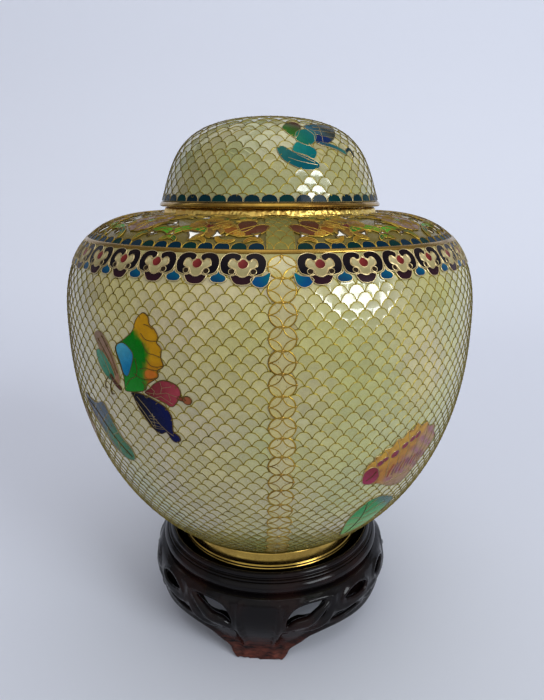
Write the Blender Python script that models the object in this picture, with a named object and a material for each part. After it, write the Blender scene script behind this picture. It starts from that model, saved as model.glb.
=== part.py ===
"""Lidded ginger jar of openwork enamel and gilt wire, on a carved and pierced wooden stand.

Lengths are metres, angles are degrees. The front of the jar faces -Y, and angles round it run from
the front towards +X. Heights build up from the floor: stand, foot ring, shell, neck collar, lid.
Every turned piece is drawn as a half section of (radius, height) points and spun round the Z axis.
"""
import math

import bmesh
import bpy
from mathutils import Vector

MM = 0.001

# Turning and fits
SEGMENTS = 32
GAP = 0.3 * MM
SEAT_CLEARANCE = 3.7 * MM
LID_CLEARANCE = 0.8 * MM

# Stand
FOOT_HEIGHT = 8.4 * MM
APRON_HEIGHT = 12.8 * MM
RIM_HEIGHT = 5.8 * MM
SEAT_DEPTH = 5.3 * MM
SEAT_THICKNESS = 3.1 * MM
LIP_WIDTH = 1.6 * MM
ROLL_REACH = 3.6 * MM
APRON_REACH = 5.9 * MM
APRON_WALL = 4.2 * MM
TOE_TUCK = 2.1 * MM
ANKLE_TUCK = 3.1 * MM
FOOT_COUNT = 3
FOOT_TURN = -5.0
FOOT_HALF_ANGLE = 9.6

# Foot ring
FOOT_RING_RADIUS = 27.5 * MM
FOOT_RING_HEIGHT = 8.0 * MM
FOOT_RING_WALL = 1.2 * MM
FOOT_RING_BEAD = 0.5 * MM
BASE_THICKNESS = 1.0 * MM
BASE_RISE = 2.0 * MM

# Shell
SHELL_RADIUS = 57.35 * MM
BELLY_HEIGHT = 62.2 * MM
SHOULDER_HEIGHT = 31.8 * MM
SHELL_WALL = 1.2 * MM
BEAD_DROP = 22.3 * MM
BEAD_WIDTH = 1.1 * MM
BEAD_HEIGHT = 0.4 * MM

# Openwork of the shoulder: four panels, each mirrored about its middle
PANEL_COUNT = 4
BAND_TURN = 2.8
HOLE_SIDE_SHARE = 0.42
OPENWORK_ROWS = (
    (16.8 * MM, 2.1 * MM, (8.2, 15.0, 21.8, 28.6, 39.0)),
    (11.8 * MM, 1.8 * MM, (11.6, 25.2)),
    (6.0 * MM, 1.6 * MM, (6.0, 19.0)),
)

# Neck collar
LEDGE_WIDTH = 3.6 * MM
LEDGE_THICKNESS = 2.4 * MM
LEDGE_STAND = 0.9 * MM
NECK_RADIUS = 26.6 * MM
NECK_WALL = 1.0 * MM
NECK_HEIGHT = 6.5 * MM

# Lid
LID_OVERHANG = 0.8 * MM
LID_RIM_HEIGHT = 1.5 * MM
LID_INSET = 0.7 * MM
LID_HEIGHT = 21.9 * MM
LID_WALL = 1.1 * MM

# Heights and radii that follow from the sizes above
STAND_STEP = FOOT_HEIGHT + APRON_HEIGHT
STAND_HEIGHT = STAND_STEP + RIM_HEIGHT
SEAT_LEVEL = STAND_HEIGHT - SEAT_DEPTH
SEAT_RADIUS = FOOT_RING_RADIUS + SEAT_CLEARANCE
APRON_RADIUS = SEAT_RADIUS + APRON_REACH
FOOT_RING_LEVEL = SEAT_LEVEL + GAP
SHELL_LEVEL = FOOT_RING_LEVEL + FOOT_RING_HEIGHT + GAP
LEDGE_RADIUS = NECK_RADIUS + LEDGE_WIDTH
MOUTH_RADIUS = LEDGE_RADIUS + GAP
MOUTH_LEVEL = SHELL_LEVEL + BELLY_HEIGHT + SHOULDER_HEIGHT
LEDGE_TOP = MOUTH_LEVEL + LEDGE_STAND
LID_RIM_RADIUS = LEDGE_RADIUS + LID_OVERHANG
LID_RIM_LEVEL = LEDGE_TOP + GAP
LID_LEVEL = LID_RIM_LEVEL + LID_RIM_HEIGHT + GAP


def clear_scene():
    """Start from an empty scene."""
    for thing in list(bpy.data.objects):
        bpy.data.objects.remove(thing)


def finish(name, color, metallic, roughness):
    """A plain Principled material."""
    material = bpy.data.materials.new(name)
    material.use_nodes = True
    shader = material.node_tree.nodes["Principled BSDF"]
    shader.inputs["Base Color"].default_value = (*color, 1.0)
    shader.inputs["Metallic"].default_value = metallic
    shader.inputs["Roughness"].default_value = roughness
    return material


def cubic(start, first, second, end, count):
    """Points of a cubic curve between two ends, both ends included."""
    points = []
    for step in range(count + 1):
        t = step / count
        weights = ((1 - t) ** 3, 3 * t * (1 - t) ** 2, 3 * t * t * (1 - t), t ** 3)
        corners = (start, first, second, end)
        points.append(tuple(sum(w * c[axis] for w, c in zip(weights, corners)) for axis in (0, 1)))
    return points


def arc(centre, radius, start, end, count):
    """Points of an arc, angles in degrees from the outward direction."""
    points = []
    for step in range(count + 1):
        angle = math.radians(start + (end - start) * step / count)
        points.append((centre[0] + radius * math.cos(angle), centre[1] + radius * math.sin(angle)))
    return points


def directions(points):
    """Unit direction of a line of points at each of them."""
    result = []
    for index in range(len(points)):
        before = points[max(index - 1, 0)]
        after = points[min(index + 1, len(points) - 1)]
        along = Vector((after[0] - before[0], after[1] - before[1])).normalized()
        result.append((along.x, along.y))
    return result


def inner_line(points, wall):
    """The same line moved inwards by the wall, for a line that climbs its outer side."""
    return [(r - wall * dz, z + wall * dr) for (r, z), (dr, dz) in zip(points, directions(points))]


def walk(points, distance):
    """Point and direction at a distance along a line of points."""
    for (r0, z0), (r1, z1) in zip(points, points[1:]):
        length = math.hypot(r1 - r0, z1 - z0)
        if distance <= length:
            share = distance / length
            return (r0 + (r1 - r0) * share, z0 + (z1 - z0) * share), ((r1 - r0) / length, (z1 - z0) / length)
        distance -= length
    raise ValueError("the distance is longer than the line")


def turned(name, section, material, level=0.0, closed=True):
    """Spin a half section round the Z axis. An open section starts and ends on the axis."""
    bm = bmesh.new()
    verts = [bm.verts.new((r, 0.0, z)) for r, z in section]
    pairs = list(zip(verts, verts[1:]))
    if closed:
        pairs.append((verts[-1], verts[0]))
    edges = [bm.edges.new(pair) for pair in pairs]
    bmesh.ops.spin(bm, geom=verts + edges, axis=(0, 0, 1), cent=(0, 0, 0), angle=math.tau,
                   steps=SEGMENTS, use_merge=True)
    bmesh.ops.remove_doubles(bm, verts=bm.verts, dist=1e-6)
    bmesh.ops.recalc_face_normals(bm, faces=bm.faces)
    piece = placed(name, bm, level)
    piece.data.materials.append(material)
    piece.data.shade_smooth()
    piece.data.set_sharp_from_angle(angle=math.radians(32))
    return piece


def placed(name, bm, level=0.0):
    """Object from a bmesh, at a height."""
    mesh = bpy.data.meshes.new(name)
    bm.to_mesh(mesh)
    bm.free()
    piece = bpy.data.objects.new(name, mesh)
    piece.location.z = level
    bpy.context.collection.objects.link(piece)
    return piece


def cut_from(piece, name, bm):
    """Cut the closed bodies of a bmesh from a piece, in the piece's own coordinates."""
    bmesh.ops.recalc_face_normals(bm, faces=bm.faces)
    cutter = placed(name, bm, piece.location.z)
    cutter.hide_render = True
    cutter.display_type = "WIRE"
    modifier = piece.modifiers.new(name, "BOOLEAN")
    modifier.object = cutter
    modifier.operation = "DIFFERENCE"
    modifier.solver = "EXACT"


def round_point(angle, radius, height):
    """Point at an angle round the jar."""
    turn = math.radians(angle)
    return Vector((radius * math.sin(turn), -radius * math.cos(turn), height))


def loop(bm, points):
    """Closed loop of edges through points."""
    verts = [bm.verts.new(point) for point in points]
    return [bm.edges.new(pair) for pair in zip(verts, verts[1:] + verts[:1])]


def plug(bm, loops):
    """Closed body through a row of loops that have as many points each."""
    rings = [loop(bm, points) for points in loops]
    for first, second in zip(rings, rings[1:]):
        bmesh.ops.bridge_loops(bm, edges=first + second)
    for ring in (rings[0], rings[-1]):
        bmesh.ops.triangle_fill(bm, use_beauty=True, edges=ring)


def rounded(points, steps):
    """Smooth closed line through points, with a number of steps between each two."""
    result = []
    count = len(points)
    for index in range(count):
        p0, p1, p2, p3 = (points[(index + shift) % count] for shift in (-1, 0, 1, 2))
        for step in range(steps):
            t = step / steps
            result.append(tuple(
                0.5 * (2 * b + (c - a) * t + (2 * a - 5 * b + 4 * c - d) * t * t
                       + (3 * b - a - 3 * c + d) * t ** 3)
                for a, b, c, d in zip(p0, p1, p2, p3)))
    return result


def stand_section():
    """Half section of the turned blank, from the seat's middle round to the underside's middle."""
    toe = APRON_RADIUS - TOE_TUCK
    ankle = (APRON_RADIUS - ANKLE_TUCK, 0.42 * FOOT_HEIGHT)
    bulge = (APRON_RADIUS, FOOT_HEIGHT + 0.6 * APRON_HEIGHT)
    roll_size = 0.33 * RIM_HEIGHT
    roll_centre = (SEAT_RADIUS + ROLL_REACH - roll_size, STAND_STEP + 0.32 * RIM_HEIGHT)
    lip_size = 0.17 * RIM_HEIGHT
    lip_centre = (SEAT_RADIUS + LIP_WIDTH - lip_size, STAND_HEIGHT - lip_size)
    section = [(0.0, SEAT_LEVEL), (SEAT_RADIUS, SEAT_LEVEL), (SEAT_RADIUS, STAND_HEIGHT - 0.5 * lip_size)]
    section += arc(lip_centre, lip_size, 95, -40, 2)
    section += [(lip_centre[0] + 0.5 * lip_size, lip_centre[1] - 1.4 * lip_size)]
    section += arc(roll_centre, roll_size, 60, -50, 3)
    section += [(APRON_RADIUS - ANKLE_TUCK + 0.3 * roll_size, STAND_STEP)]
    section += cubic((APRON_RADIUS - 0.95 * TOE_TUCK, STAND_STEP), (APRON_RADIUS - 0.3 * TOE_TUCK, STAND_STEP),
                     (APRON_RADIUS, STAND_STEP - 0.2 * APRON_HEIGHT), bulge, 3)
    section += cubic(bulge, (APRON_RADIUS, bulge[1] - 0.5 * APRON_HEIGHT), (ankle[0], 2.0 * ankle[1]), ankle, 4)[1:]
    section += [(toe - 0.1 * TOE_TUCK, 0.12 * FOOT_HEIGHT), (toe, 0.0)]
    section += [(toe - 1.2 * APRON_WALL, 0.0), (APRON_RADIUS - APRON_WALL - 0.4 * TOE_TUCK, FOOT_HEIGHT)]
    section += [(APRON_RADIUS - APRON_WALL, SEAT_LEVEL - SEAT_THICKNESS), (0.0, SEAT_LEVEL - SEAT_THICKNESS)]
    return section


def bay_angles():
    """Angles of one bay's two sides: the middle of its first foot, and a sign for each direction."""
    pitch = 360.0 / FOOT_COUNT
    for index in range(FOOT_COUNT):
        yield FOOT_TURN + index * pitch, 1
        yield FOOT_TURN + (index + 1) * pitch, -1


def bay_cutters():
    """Bodies that open the three bays below the apron, between the feet."""
    half = 180.0 / FOOT_COUNT
    rise = ((0.0, 0.0), (0.045, 0.17), (0.08, 0.36), (0.19, 0.60), (0.28, 0.90), (0.46, 1.07),
            (0.68, 1.06), (0.85, 0.98), (1.0, 0.92))
    side = [(FOOT_HALF_ANGLE + share * (half - FOOT_HALF_ANGLE), FOOT_HEIGHT * up) for share, up in rise]
    low = -0.2 * FOOT_HEIGHT
    inner = 0.6 * SEAT_RADIUS
    outer = 1.3 * APRON_RADIUS
    bm = bmesh.new()
    for index in range(FOOT_COUNT):
        start = FOOT_TURN + index * 2 * half
        stations = [(start + angle, height) for angle, height in side]
        stations += [(start + 2 * half - angle, height) for angle, height in reversed(side[:-1])]
        loops = []
        for angle, height in stations:
            top = max(height, 0.05 * FOOT_HEIGHT)
            loops.append([round_point(angle, inner, low), round_point(angle, outer, low),
                          round_point(angle, outer, top), round_point(angle, inner, top)])
        plug(bm, loops)
    return bm


def apron_cutters():
    """Bodies that pierce the apron: a comma beside each foot, then a crescent and a drop."""
    unit = APRON_HEIGHT / 12.8
    base = FOOT_HEIGHT
    comma = ((11.8, 2.3), (11.3, 6.2), (14.8, 10.1), (22.5, 11.4), (34.4, 10.9), (32.2, 7.2), (27.0, 4.1), (17.5, 4.3))
    crescent = ((30.8, 3.3), (37.0, 5.0), (45.5, 5.0), (53.8, 2.4), (46.0, 2.7), (37.5, 2.6))
    drop = ((38.3, 8.3), (43.0, 10.6), (50.5, 11.3), (56.6, 9.6), (54.5, 6.9), (46.5, 6.9))
    inner = APRON_RADIUS - 1.7 * APRON_WALL
    outer = APRON_RADIUS + APRON_WALL
    bm = bmesh.new()
    for middle, sign in bay_angles():
        for outline, steps in ((comma, 2), (crescent, 1), (drop, 1)):
            points = rounded([(angle, base + height * unit) for angle, height in outline], steps)
            plug(bm, [[round_point(middle + sign * angle, radius, height) for angle, height in points]
                      for radius in (inner, outer)])
    return bm


def shell_line(count_belly, count_shoulder):
    """Outer line of the shell, from its foot up to its mouth, in the shell's own heights."""
    widest = (SHELL_RADIUS, BELLY_HEIGHT)
    rise = SHELL_RADIUS - FOOT_RING_RADIUS
    belly = cubic((FOOT_RING_RADIUS, 0.0), (FOOT_RING_RADIUS + 0.663 * rise, 0.203 * BELLY_HEIGHT),
                  (SHELL_RADIUS, 0.59 * BELLY_HEIGHT), widest, count_belly)
    mouth = (MOUTH_RADIUS, BELLY_HEIGHT + SHOULDER_HEIGHT)
    shoulder = cubic(widest, (SHELL_RADIUS, BELLY_HEIGHT + 0.315 * SHOULDER_HEIGHT),
                     (SHELL_RADIUS + 0.05 * rise, mouth[1] + 0.02 * SHOULDER_HEIGHT), mouth, count_shoulder)
    return belly + shoulder[1:]


def shell_section():
    """Half section of the shell's wall, with the low bead between belly and openwork."""
    outer = shell_line(8, 9)
    fine = list(reversed(shell_line(60, 60)))
    bead = []
    for shift, height in ((0.5, 0.0), (0.0, BEAD_HEIGHT), (-0.5, 0.0)):
        (r, z), (dr, dz) = walk(fine, BEAD_DROP + shift * BEAD_WIDTH)
        bead.append((r - height * dz, z + height * dr))
    below = [point for point in outer if point[1] < bead[0][1] - BEAD_WIDTH]
    above = [point for point in outer if point[1] > bead[2][1] and point[0] < bead[2][0] - BEAD_WIDTH]
    inner = inner_line(shell_line(4, 5), SHELL_WALL)
    return below + bead + above + list(reversed(inner))


def openwork_cutters():
    """Bodies that pierce the shoulder between the petals and leaves, each a hollow-sided triangle."""
    fine = list(reversed(shell_line(60, 60)))
    half = 180.0 / PANEL_COUNT
    bm = bmesh.new()
    for panel in range(PANEL_COUNT):
        middle = BAND_TURN + half + panel * 2 * half
        for row, (distance, reach, angles) in enumerate(OPENWORK_ROWS):
            (radius, height), (dr, dz) = walk(fine, distance)
            for place, offset in enumerate(angles):
                for sign in (-1, 1):
                    angle = middle + sign * offset
                    centre = round_point(angle, radius, height)
                    out = round_point(angle, dr, dz).normalized()
                    side = round_point(angle + 90, 1.0, 0.0)
                    up = side.cross(out).normalized()
                    flip = 180 * ((row + place) % 2)
                    plug(bm, [[centre + up * lift + hole_point(corner, reach, flip, side, out)
                               for corner in range(6)] for lift in (-2.5 * SHELL_WALL, 2.0 * SHELL_WALL)])
    return bm


def hole_point(corner, reach, flip, side, out):
    """One of the six points of a hole, corners and pulled-in sides by turns."""
    turn = math.radians(60 * corner + 30 + flip)
    size = reach if corner % 2 else reach * HOLE_SIDE_SHARE
    return side * (size * math.cos(turn)) + out * (size * math.sin(turn))


def foot_ring_section():
    """Half section of the foot ring, with its bead and the raised plate that closes the jar."""
    inner = FOOT_RING_RADIUS - FOOT_RING_WALL
    bead = 0.72 * FOOT_RING_HEIGHT
    return [(0.0, BASE_RISE), (inner, BASE_RISE), (inner, 0.0), (FOOT_RING_RADIUS, 0.0),
            (FOOT_RING_RADIUS, bead - FOOT_RING_BEAD), (FOOT_RING_RADIUS + FOOT_RING_BEAD, bead),
            (FOOT_RING_RADIUS, bead + FOOT_RING_BEAD), (FOOT_RING_RADIUS, FOOT_RING_HEIGHT),
            (inner, FOOT_RING_HEIGHT), (inner, BASE_RISE + BASE_THICKNESS), (0.0, BASE_RISE + BASE_THICKNESS)]


def collar_section():
    """Half section of the neck collar, heights from the ledge's top."""
    bore = NECK_RADIUS - NECK_WALL
    soft = 0.25 * LEDGE_WIDTH
    return [(bore, -LEDGE_THICKNESS), (LEDGE_RADIUS, -LEDGE_THICKNESS), (LEDGE_RADIUS, -0.5 * soft),
            (LEDGE_RADIUS - 0.5 * soft, 0.0), (NECK_RADIUS, 0.0), (NECK_RADIUS, NECK_HEIGHT - 0.5 * NECK_WALL),
            (NECK_RADIUS - 0.5 * NECK_WALL, NECK_HEIGHT), (bore, NECK_HEIGHT)]


def lid_rim_section():
    """Half section of the lid's rim, rounded outside."""
    inner = NECK_RADIUS + LID_CLEARANCE
    edge = 0.3 * LID_RIM_HEIGHT
    return [(inner, 0.0), (LID_RIM_RADIUS - edge, 0.0), (LID_RIM_RADIUS, edge),
            (LID_RIM_RADIUS, LID_RIM_HEIGHT - edge), (LID_RIM_RADIUS - edge, LID_RIM_HEIGHT), (inner, LID_RIM_HEIGHT)]


def lid_section():
    """Half section of the lid's domed wall."""
    foot = LID_RIM_RADIUS - LID_INSET
    corners = ((foot, 0.0), (0.875 * foot, 0.603 * LID_HEIGHT), (0.802 * foot, LID_HEIGHT), (0.0, LID_HEIGHT))
    outer = cubic(*corners, 8)
    inner = inner_line(cubic(*corners, 5), LID_WALL)
    inner[0] = (inner[0][0], 0.0)
    inner[-1] = (0.0, LID_HEIGHT - LID_WALL)
    return outer + list(reversed(inner))


def lid_dome(material):
    """The dome, whose section starts and ends at the axis above and stands open below."""
    section = lid_section()
    middle = len(cubic((0, 0), (0, 0), (0, 0), (0, 0), 8))
    return turned("lid_dome", section[middle:] + section[:middle], material, LID_LEVEL, closed=False)


def build():
    """Make every piece of the jar and its stand."""
    clear_scene()
    wood = finish("dark_rosewood", (0.035, 0.014, 0.010), 0.0, 0.28)
    gilt = finish("gilt_brass", (0.85, 0.58, 0.18), 1.0, 0.24)
    enamel = finish("pale_clear_enamel", (0.72, 0.72, 0.52), 0.0, 0.12)
    stand = turned("stand", stand_section(), wood, closed=False)
    cut_from(stand, "stand_bays", bay_cutters())
    cut_from(stand, "stand_piercing", apron_cutters())
    turned("foot_ring", foot_ring_section(), gilt, FOOT_RING_LEVEL, closed=False)
    shell = turned("jar_shell", shell_section(), enamel, SHELL_LEVEL)
    cut_from(shell, "shell_openwork", openwork_cutters())
    turned("neck_collar", collar_section(), gilt, LEDGE_TOP)
    turned("lid_rim", lid_rim_section(), gilt, LID_RIM_LEVEL)
    lid_dome(enamel)


build()
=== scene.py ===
"""Looks of a lidded ginger jar of openwork enamel and gilt wire, on a carved and pierced wooden stand.

Lengths are metres, angles are degrees. The front of the jar faces -Y, and angles round it run from the
front towards +X. A place on a wall is an angle and a rise, the length along the wall's line from its foot.
"""
import bisect
import math
import random

import bmesh
import bpy
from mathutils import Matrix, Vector
from mathutils.noise import noise


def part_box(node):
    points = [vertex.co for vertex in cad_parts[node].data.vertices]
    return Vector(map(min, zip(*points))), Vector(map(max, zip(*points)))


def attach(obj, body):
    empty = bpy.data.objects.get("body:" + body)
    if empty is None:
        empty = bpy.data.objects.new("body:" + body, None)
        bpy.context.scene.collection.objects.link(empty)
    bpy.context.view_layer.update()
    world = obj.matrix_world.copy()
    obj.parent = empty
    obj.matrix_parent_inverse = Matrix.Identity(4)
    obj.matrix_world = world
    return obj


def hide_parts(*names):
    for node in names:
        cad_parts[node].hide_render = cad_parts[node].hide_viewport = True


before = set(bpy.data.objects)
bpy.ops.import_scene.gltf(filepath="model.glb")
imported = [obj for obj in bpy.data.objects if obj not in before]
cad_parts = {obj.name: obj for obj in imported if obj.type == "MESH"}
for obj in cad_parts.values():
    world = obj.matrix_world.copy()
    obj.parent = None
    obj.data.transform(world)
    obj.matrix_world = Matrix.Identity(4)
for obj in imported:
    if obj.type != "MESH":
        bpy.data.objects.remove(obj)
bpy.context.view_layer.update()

# Stand: one block of dark rosewood, turned to a lip, a roll and a bulging apron, cut out below into three
# low feet and pierced with cloud scrolls. The rims of the scrolls are rounded by hand and polished.
MM = 0.001
STAND_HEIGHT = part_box("stand")[1].z
FOOT_HEIGHT = 8.4 * MM
APRON_HEIGHT = 12.8 * MM
STAND_STEP = FOOT_HEIGHT + APRON_HEIGHT
RIM_HEIGHT = STAND_HEIGHT - STAND_STEP
SEAT_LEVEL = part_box("foot_ring")[0].z - 0.3 * MM
SEAT_THICKNESS = 3.1 * MM
SEAT_RADIUS = 31.2 * MM
APRON_RADIUS = 37.1 * MM
APRON_WALL = 4.2 * MM
TOE_TUCK = 2.1 * MM
ANKLE_TUCK = 3.1 * MM
ROLL_SIZE = 0.37 * RIM_HEIGHT
ROLL_CENTRE = (SEAT_RADIUS + 3.6 * MM - ROLL_SIZE, STAND_STEP + 0.32 * RIM_HEIGHT)
LIP_SIZE = 0.17 * RIM_HEIGHT
LIP_CENTRE = (SEAT_RADIUS + 1.6 * MM - LIP_SIZE, STAND_HEIGHT - LIP_SIZE)
FOOT_COUNT = 3
FOOT_TURN = -5.0
FOOT_HALF_ANGLE = 9.6
HALF_BAY = 180.0 / FOOT_COUNT
CARVED_LINE = 1.08 * MM
CARVED_SINK = 0.25 * MM
CARVED_VOXEL = 0.42 * MM
TURNED_STEPS = 144


def cubic(start, first, second, end, count):
    """Points of a cubic curve between two ends, both ends included."""
    points = []
    for step in range(count + 1):
        t = step / count
        weights = ((1 - t) ** 3, 3 * t * (1 - t) ** 2, 3 * t * t * (1 - t), t ** 3)
        corners = (start, first, second, end)
        points.append(tuple(sum(w * c[axis] for w, c in zip(weights, corners)) for axis in (0, 1)))
    return points


def arc(centre, radius, start, end, count):
    """Points of an arc, angles in degrees from the outward direction."""
    points = []
    for step in range(count + 1):
        turn = math.radians(start + (end - start) * step / count)
        points.append((centre[0] + radius * math.cos(turn), centre[1] + radius * math.sin(turn)))
    return points


def rounded(points, steps, closed=True):
    """Smooth line through points, with a number of steps between each two."""
    result = []
    count = len(points)
    for index in range(count if closed else count - 1):
        places = [index + shift for shift in (-1, 0, 1, 2)]
        if closed:
            places = [place % count for place in places]
        else:
            places = [min(max(place, 0), count - 1) for place in places]
        p0, p1, p2, p3 = (points[place] for place in places)
        for step in range(steps):
            t = step / steps
            result.append(tuple(
                0.5 * (2 * b + (c - a) * t + (2 * a - 5 * b + 4 * c - d) * t * t
                       + (3 * b - a - 3 * c + d) * t ** 3)
                for a, b, c, d in zip(p0, p1, p2, p3)))
    if not closed:
        result.append(tuple(points[-1]))
    return result


def curve(points, steps):
    """Smooth line through points that stays open."""
    return rounded(points, steps, closed=False)


def round_point(angle, radius, height):
    """Point at an angle round the jar."""
    turn = math.radians(angle)
    return Vector((radius * math.sin(turn), -radius * math.cos(turn), height))


def spun(section, steps, closed=True):
    """Bmesh of a half section spun round the Z axis. An open section starts and ends on the axis."""
    bm = bmesh.new()
    verts = [bm.verts.new((r, 0.0, z)) for r, z in section]
    pairs = list(zip(verts, verts[1:]))
    if closed:
        pairs.append((verts[-1], verts[0]))
    edges = [bm.edges.new(pair) for pair in pairs]
    bmesh.ops.spin(bm, geom=verts + edges, axis=(0, 0, 1), cent=(0, 0, 0), angle=math.tau,
                   steps=steps, use_merge=True)
    bmesh.ops.remove_doubles(bm, verts=bm.verts, dist=1e-7)
    bmesh.ops.recalc_face_normals(bm, faces=bm.faces)
    return bm


def plug(bm, loops):
    """Closed body through a row of loops that have as many points each."""
    rings = []
    for points in loops:
        verts = [bm.verts.new(point) for point in points]
        rings.append([bm.edges.new(pair) for pair in zip(verts, verts[1:] + verts[:1])])
    for first, second in zip(rings, rings[1:]):
        bmesh.ops.bridge_loops(bm, edges=first + second)
    for ring in (rings[0], rings[-1]):
        bmesh.ops.triangle_fill(bm, use_beauty=True, edges=ring)


def raw_object(name, bm):
    """Object from a bmesh, at the origin."""
    mesh = bpy.data.meshes.new(name)
    bm.to_mesh(mesh)
    bm.free()
    made = bpy.data.objects.new(name, mesh)
    bpy.context.collection.objects.link(made)
    return made


def settled(made, *helpers):
    """Take an object's modifiers into a bmesh, and remove it with the objects that only shaped it."""
    bpy.context.view_layer.update()
    graph = bpy.context.evaluated_depsgraph_get()
    bm = bmesh.new()
    shown = made.evaluated_get(graph)
    bm.from_mesh(shown.to_mesh())
    shown.to_mesh_clear()
    for helper in (made, *helpers):
        bpy.data.objects.remove(helper)
    return bm


def cut(bm, cutter):
    """The body of one bmesh with the bodies of another taken out."""
    bmesh.ops.recalc_face_normals(cutter, faces=cutter.faces)
    blank = raw_object("blank", bm)
    tool = raw_object("cutter", cutter)
    modifier = blank.modifiers.new("cut", "BOOLEAN")
    modifier.object = tool
    modifier.operation = "DIFFERENCE"
    modifier.solver = "EXACT"
    return settled(blank, tool)


def dressed(name, bm, node, slot, *materials):
    """A finished piece: smooth, in its material, riding on the jar in place of its solid."""
    made = raw_object(name, bm)
    made.data.shade_smooth()
    for material in materials:
        made.data.materials.append(material)
    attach(made, "root")
    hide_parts(node)
    return made


def apron_line():
    """Outer line of the apron, from the roll down to the toe."""
    toe = APRON_RADIUS - TOE_TUCK
    ankle = (APRON_RADIUS - ANKLE_TUCK, 0.42 * FOOT_HEIGHT)
    bulge = (APRON_RADIUS, FOOT_HEIGHT + 0.6 * APRON_HEIGHT)
    upper = cubic((APRON_RADIUS - 0.95 * TOE_TUCK, STAND_STEP), (APRON_RADIUS - 0.3 * TOE_TUCK, STAND_STEP),
                  (APRON_RADIUS, STAND_STEP - 0.2 * APRON_HEIGHT), bulge, 8)
    lower = cubic(bulge, (APRON_RADIUS, bulge[1] - 0.5 * APRON_HEIGHT), (ankle[0], 2.0 * ankle[1]), ankle, 12)
    return upper + lower[1:] + [(toe - 0.1 * TOE_TUCK, 0.12 * FOOT_HEIGHT), (toe, 0.0)]


def apron_skin(height):
    """Radius of the apron's outer side at a height."""
    line = apron_line()
    for (r0, z0), (r1, z1) in zip(line, line[1:]):
        if z1 <= height <= z0:
            return r1 + (r0 - r1) * (height - z1) / max(z0 - z1, 1e-9)
    return line[0][0]


# The bays' edge in shares of half a bay and of the feet, then the openings and the carved lines of the
# apron in degrees from the foot's middle, millimetres above the feet and, for the lines, thickness.
BAY_RISE = ((0.0, 0.0), (0.045, 0.17), (0.08, 0.36), (0.19, 0.60), (0.28, 0.90), (0.46, 1.07),
            (0.68, 1.06), (0.85, 0.98), (1.0, 0.92))
COMMA = ((11.8, 2.3), (11.3, 6.2), (14.8, 10.1), (22.5, 11.4), (34.4, 10.9), (32.2, 7.2), (27, 4.1),
         (17.5, 4.3))
CRESCENT = ((30, 3), (36.5, 5.4), (45.5, 5.8), (55, 2.9), (46, 2.5), (37.5, 2.1))
DROP = ((38.3, 8.3), (43, 10.6), (50.5, 11.3), (56.6, 9.6), (54.5, 6.9), (46.5, 6.9))
SCROLLS = (
    ((33, 10.2, 0.6), (28.4, 8.2, 1.2), (22.6, 5.2, 1.5), (16.6, 4.6, 1.4), (12.6, 2.8, 0.8)),
    ((24, 5.6, 0.6), (25.6, 7.4, 0.9), (28.8, 8.6, 0.8)),
    ((36, 11.3, 0.5), (33.6, 6.8, 0.9), (30.4, 3.6, 1.1), (24, 2.5, 1.1), (17, 2.9, 0.9), (13.6, 3.4, 0.6)),
    ((35, 8, 0.9), (37.2, 6.6, 1.1), (41, 6, 1.1), (48, 6, 1), (55, 5.6, 0.9), (60, 5.4, 0.8)),
    ((36.6, 8.9, 0.5), (35.6, 7.4, 0.9), (36.9, 6.4, 1.1), (38.6, 7, 0.8), (37.6, 8, 0.5)),
    ((56.6, 4, 0.5), (58.4, 3, 0.9), (60, 2.8, 1)),
    ((8.6, 11.6, 0.6), (9, 6, 1), (8.2, 1, 1.1), (6.8, -4, 0.9), (7.2, -8, 0.9)),
)


def bay_sides():
    """The middles of the two feet beside each bay, each with the sign of its way into the bay."""
    for index in range(FOOT_COUNT):
        yield FOOT_TURN + index * 2 * HALF_BAY, 1
        yield FOOT_TURN + (index + 1) * 2 * HALF_BAY, -1


def bay_edge():
    """Edge of the bay below the apron, as angles from the foot's middle and heights."""
    reach = HALF_BAY - FOOT_HALF_ANGLE
    return curve([(FOOT_HALF_ANGLE + share * reach, FOOT_HEIGHT * up) for share, up in BAY_RISE], 3)


def apron_cutters():
    """Bodies that open the bays between the feet and pierce the apron with scrolls."""
    bm = bmesh.new()
    side = bay_edge()
    low = -0.2 * FOOT_HEIGHT
    near = 0.6 * SEAT_RADIUS
    far = 1.3 * APRON_RADIUS
    for index in range(FOOT_COUNT):
        start = FOOT_TURN + index * 2 * HALF_BAY
        stations = [(start + angle, height) for angle, height in side]
        stations += [(start + 2 * HALF_BAY - angle, height) for angle, height in reversed(side[:-1])]
        loops = []
        for angle, height in stations:
            top = max(height, 0.05 * FOOT_HEIGHT)
            corners = ((near, low), (far, low), (far, top), (near, top))
            loops.append([round_point(angle, radius, level) for radius, level in corners])
        plug(bm, loops)
    for middle, sign in bay_sides():
        for outline in (COMMA, CRESCENT, DROP):
            points = [(middle + sign * angle, FOOT_HEIGHT + height * MM)
                      for angle, height in rounded(outline, 4)]
            plug(bm, [[round_point(angle, radius, height) for angle, height in points]
                      for radius in (APRON_RADIUS - 1.7 * APRON_WALL, APRON_RADIUS + APRON_WALL)])
    return bm


def carved_lines():
    """Raised lines of the carving, each a row of angle, height and thickness in millimetres."""
    feet = FOOT_HEIGHT / MM
    lines = [[(angle, height / MM + 0.35, 1.0) for angle, height in bay_edge()]]
    for outline, thickness in ((COMMA, 0.75), (CRESCENT, 0.6), (DROP, 0.7)):
        lines.append([(angle, feet + height, thickness) for angle, height in curve(outline + outline[:1], 3)])
    for scroll in SCROLLS:
        lines.append([(angle, feet + height, thickness) for angle, height, thickness in curve(scroll, 4)])
    return lines


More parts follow.
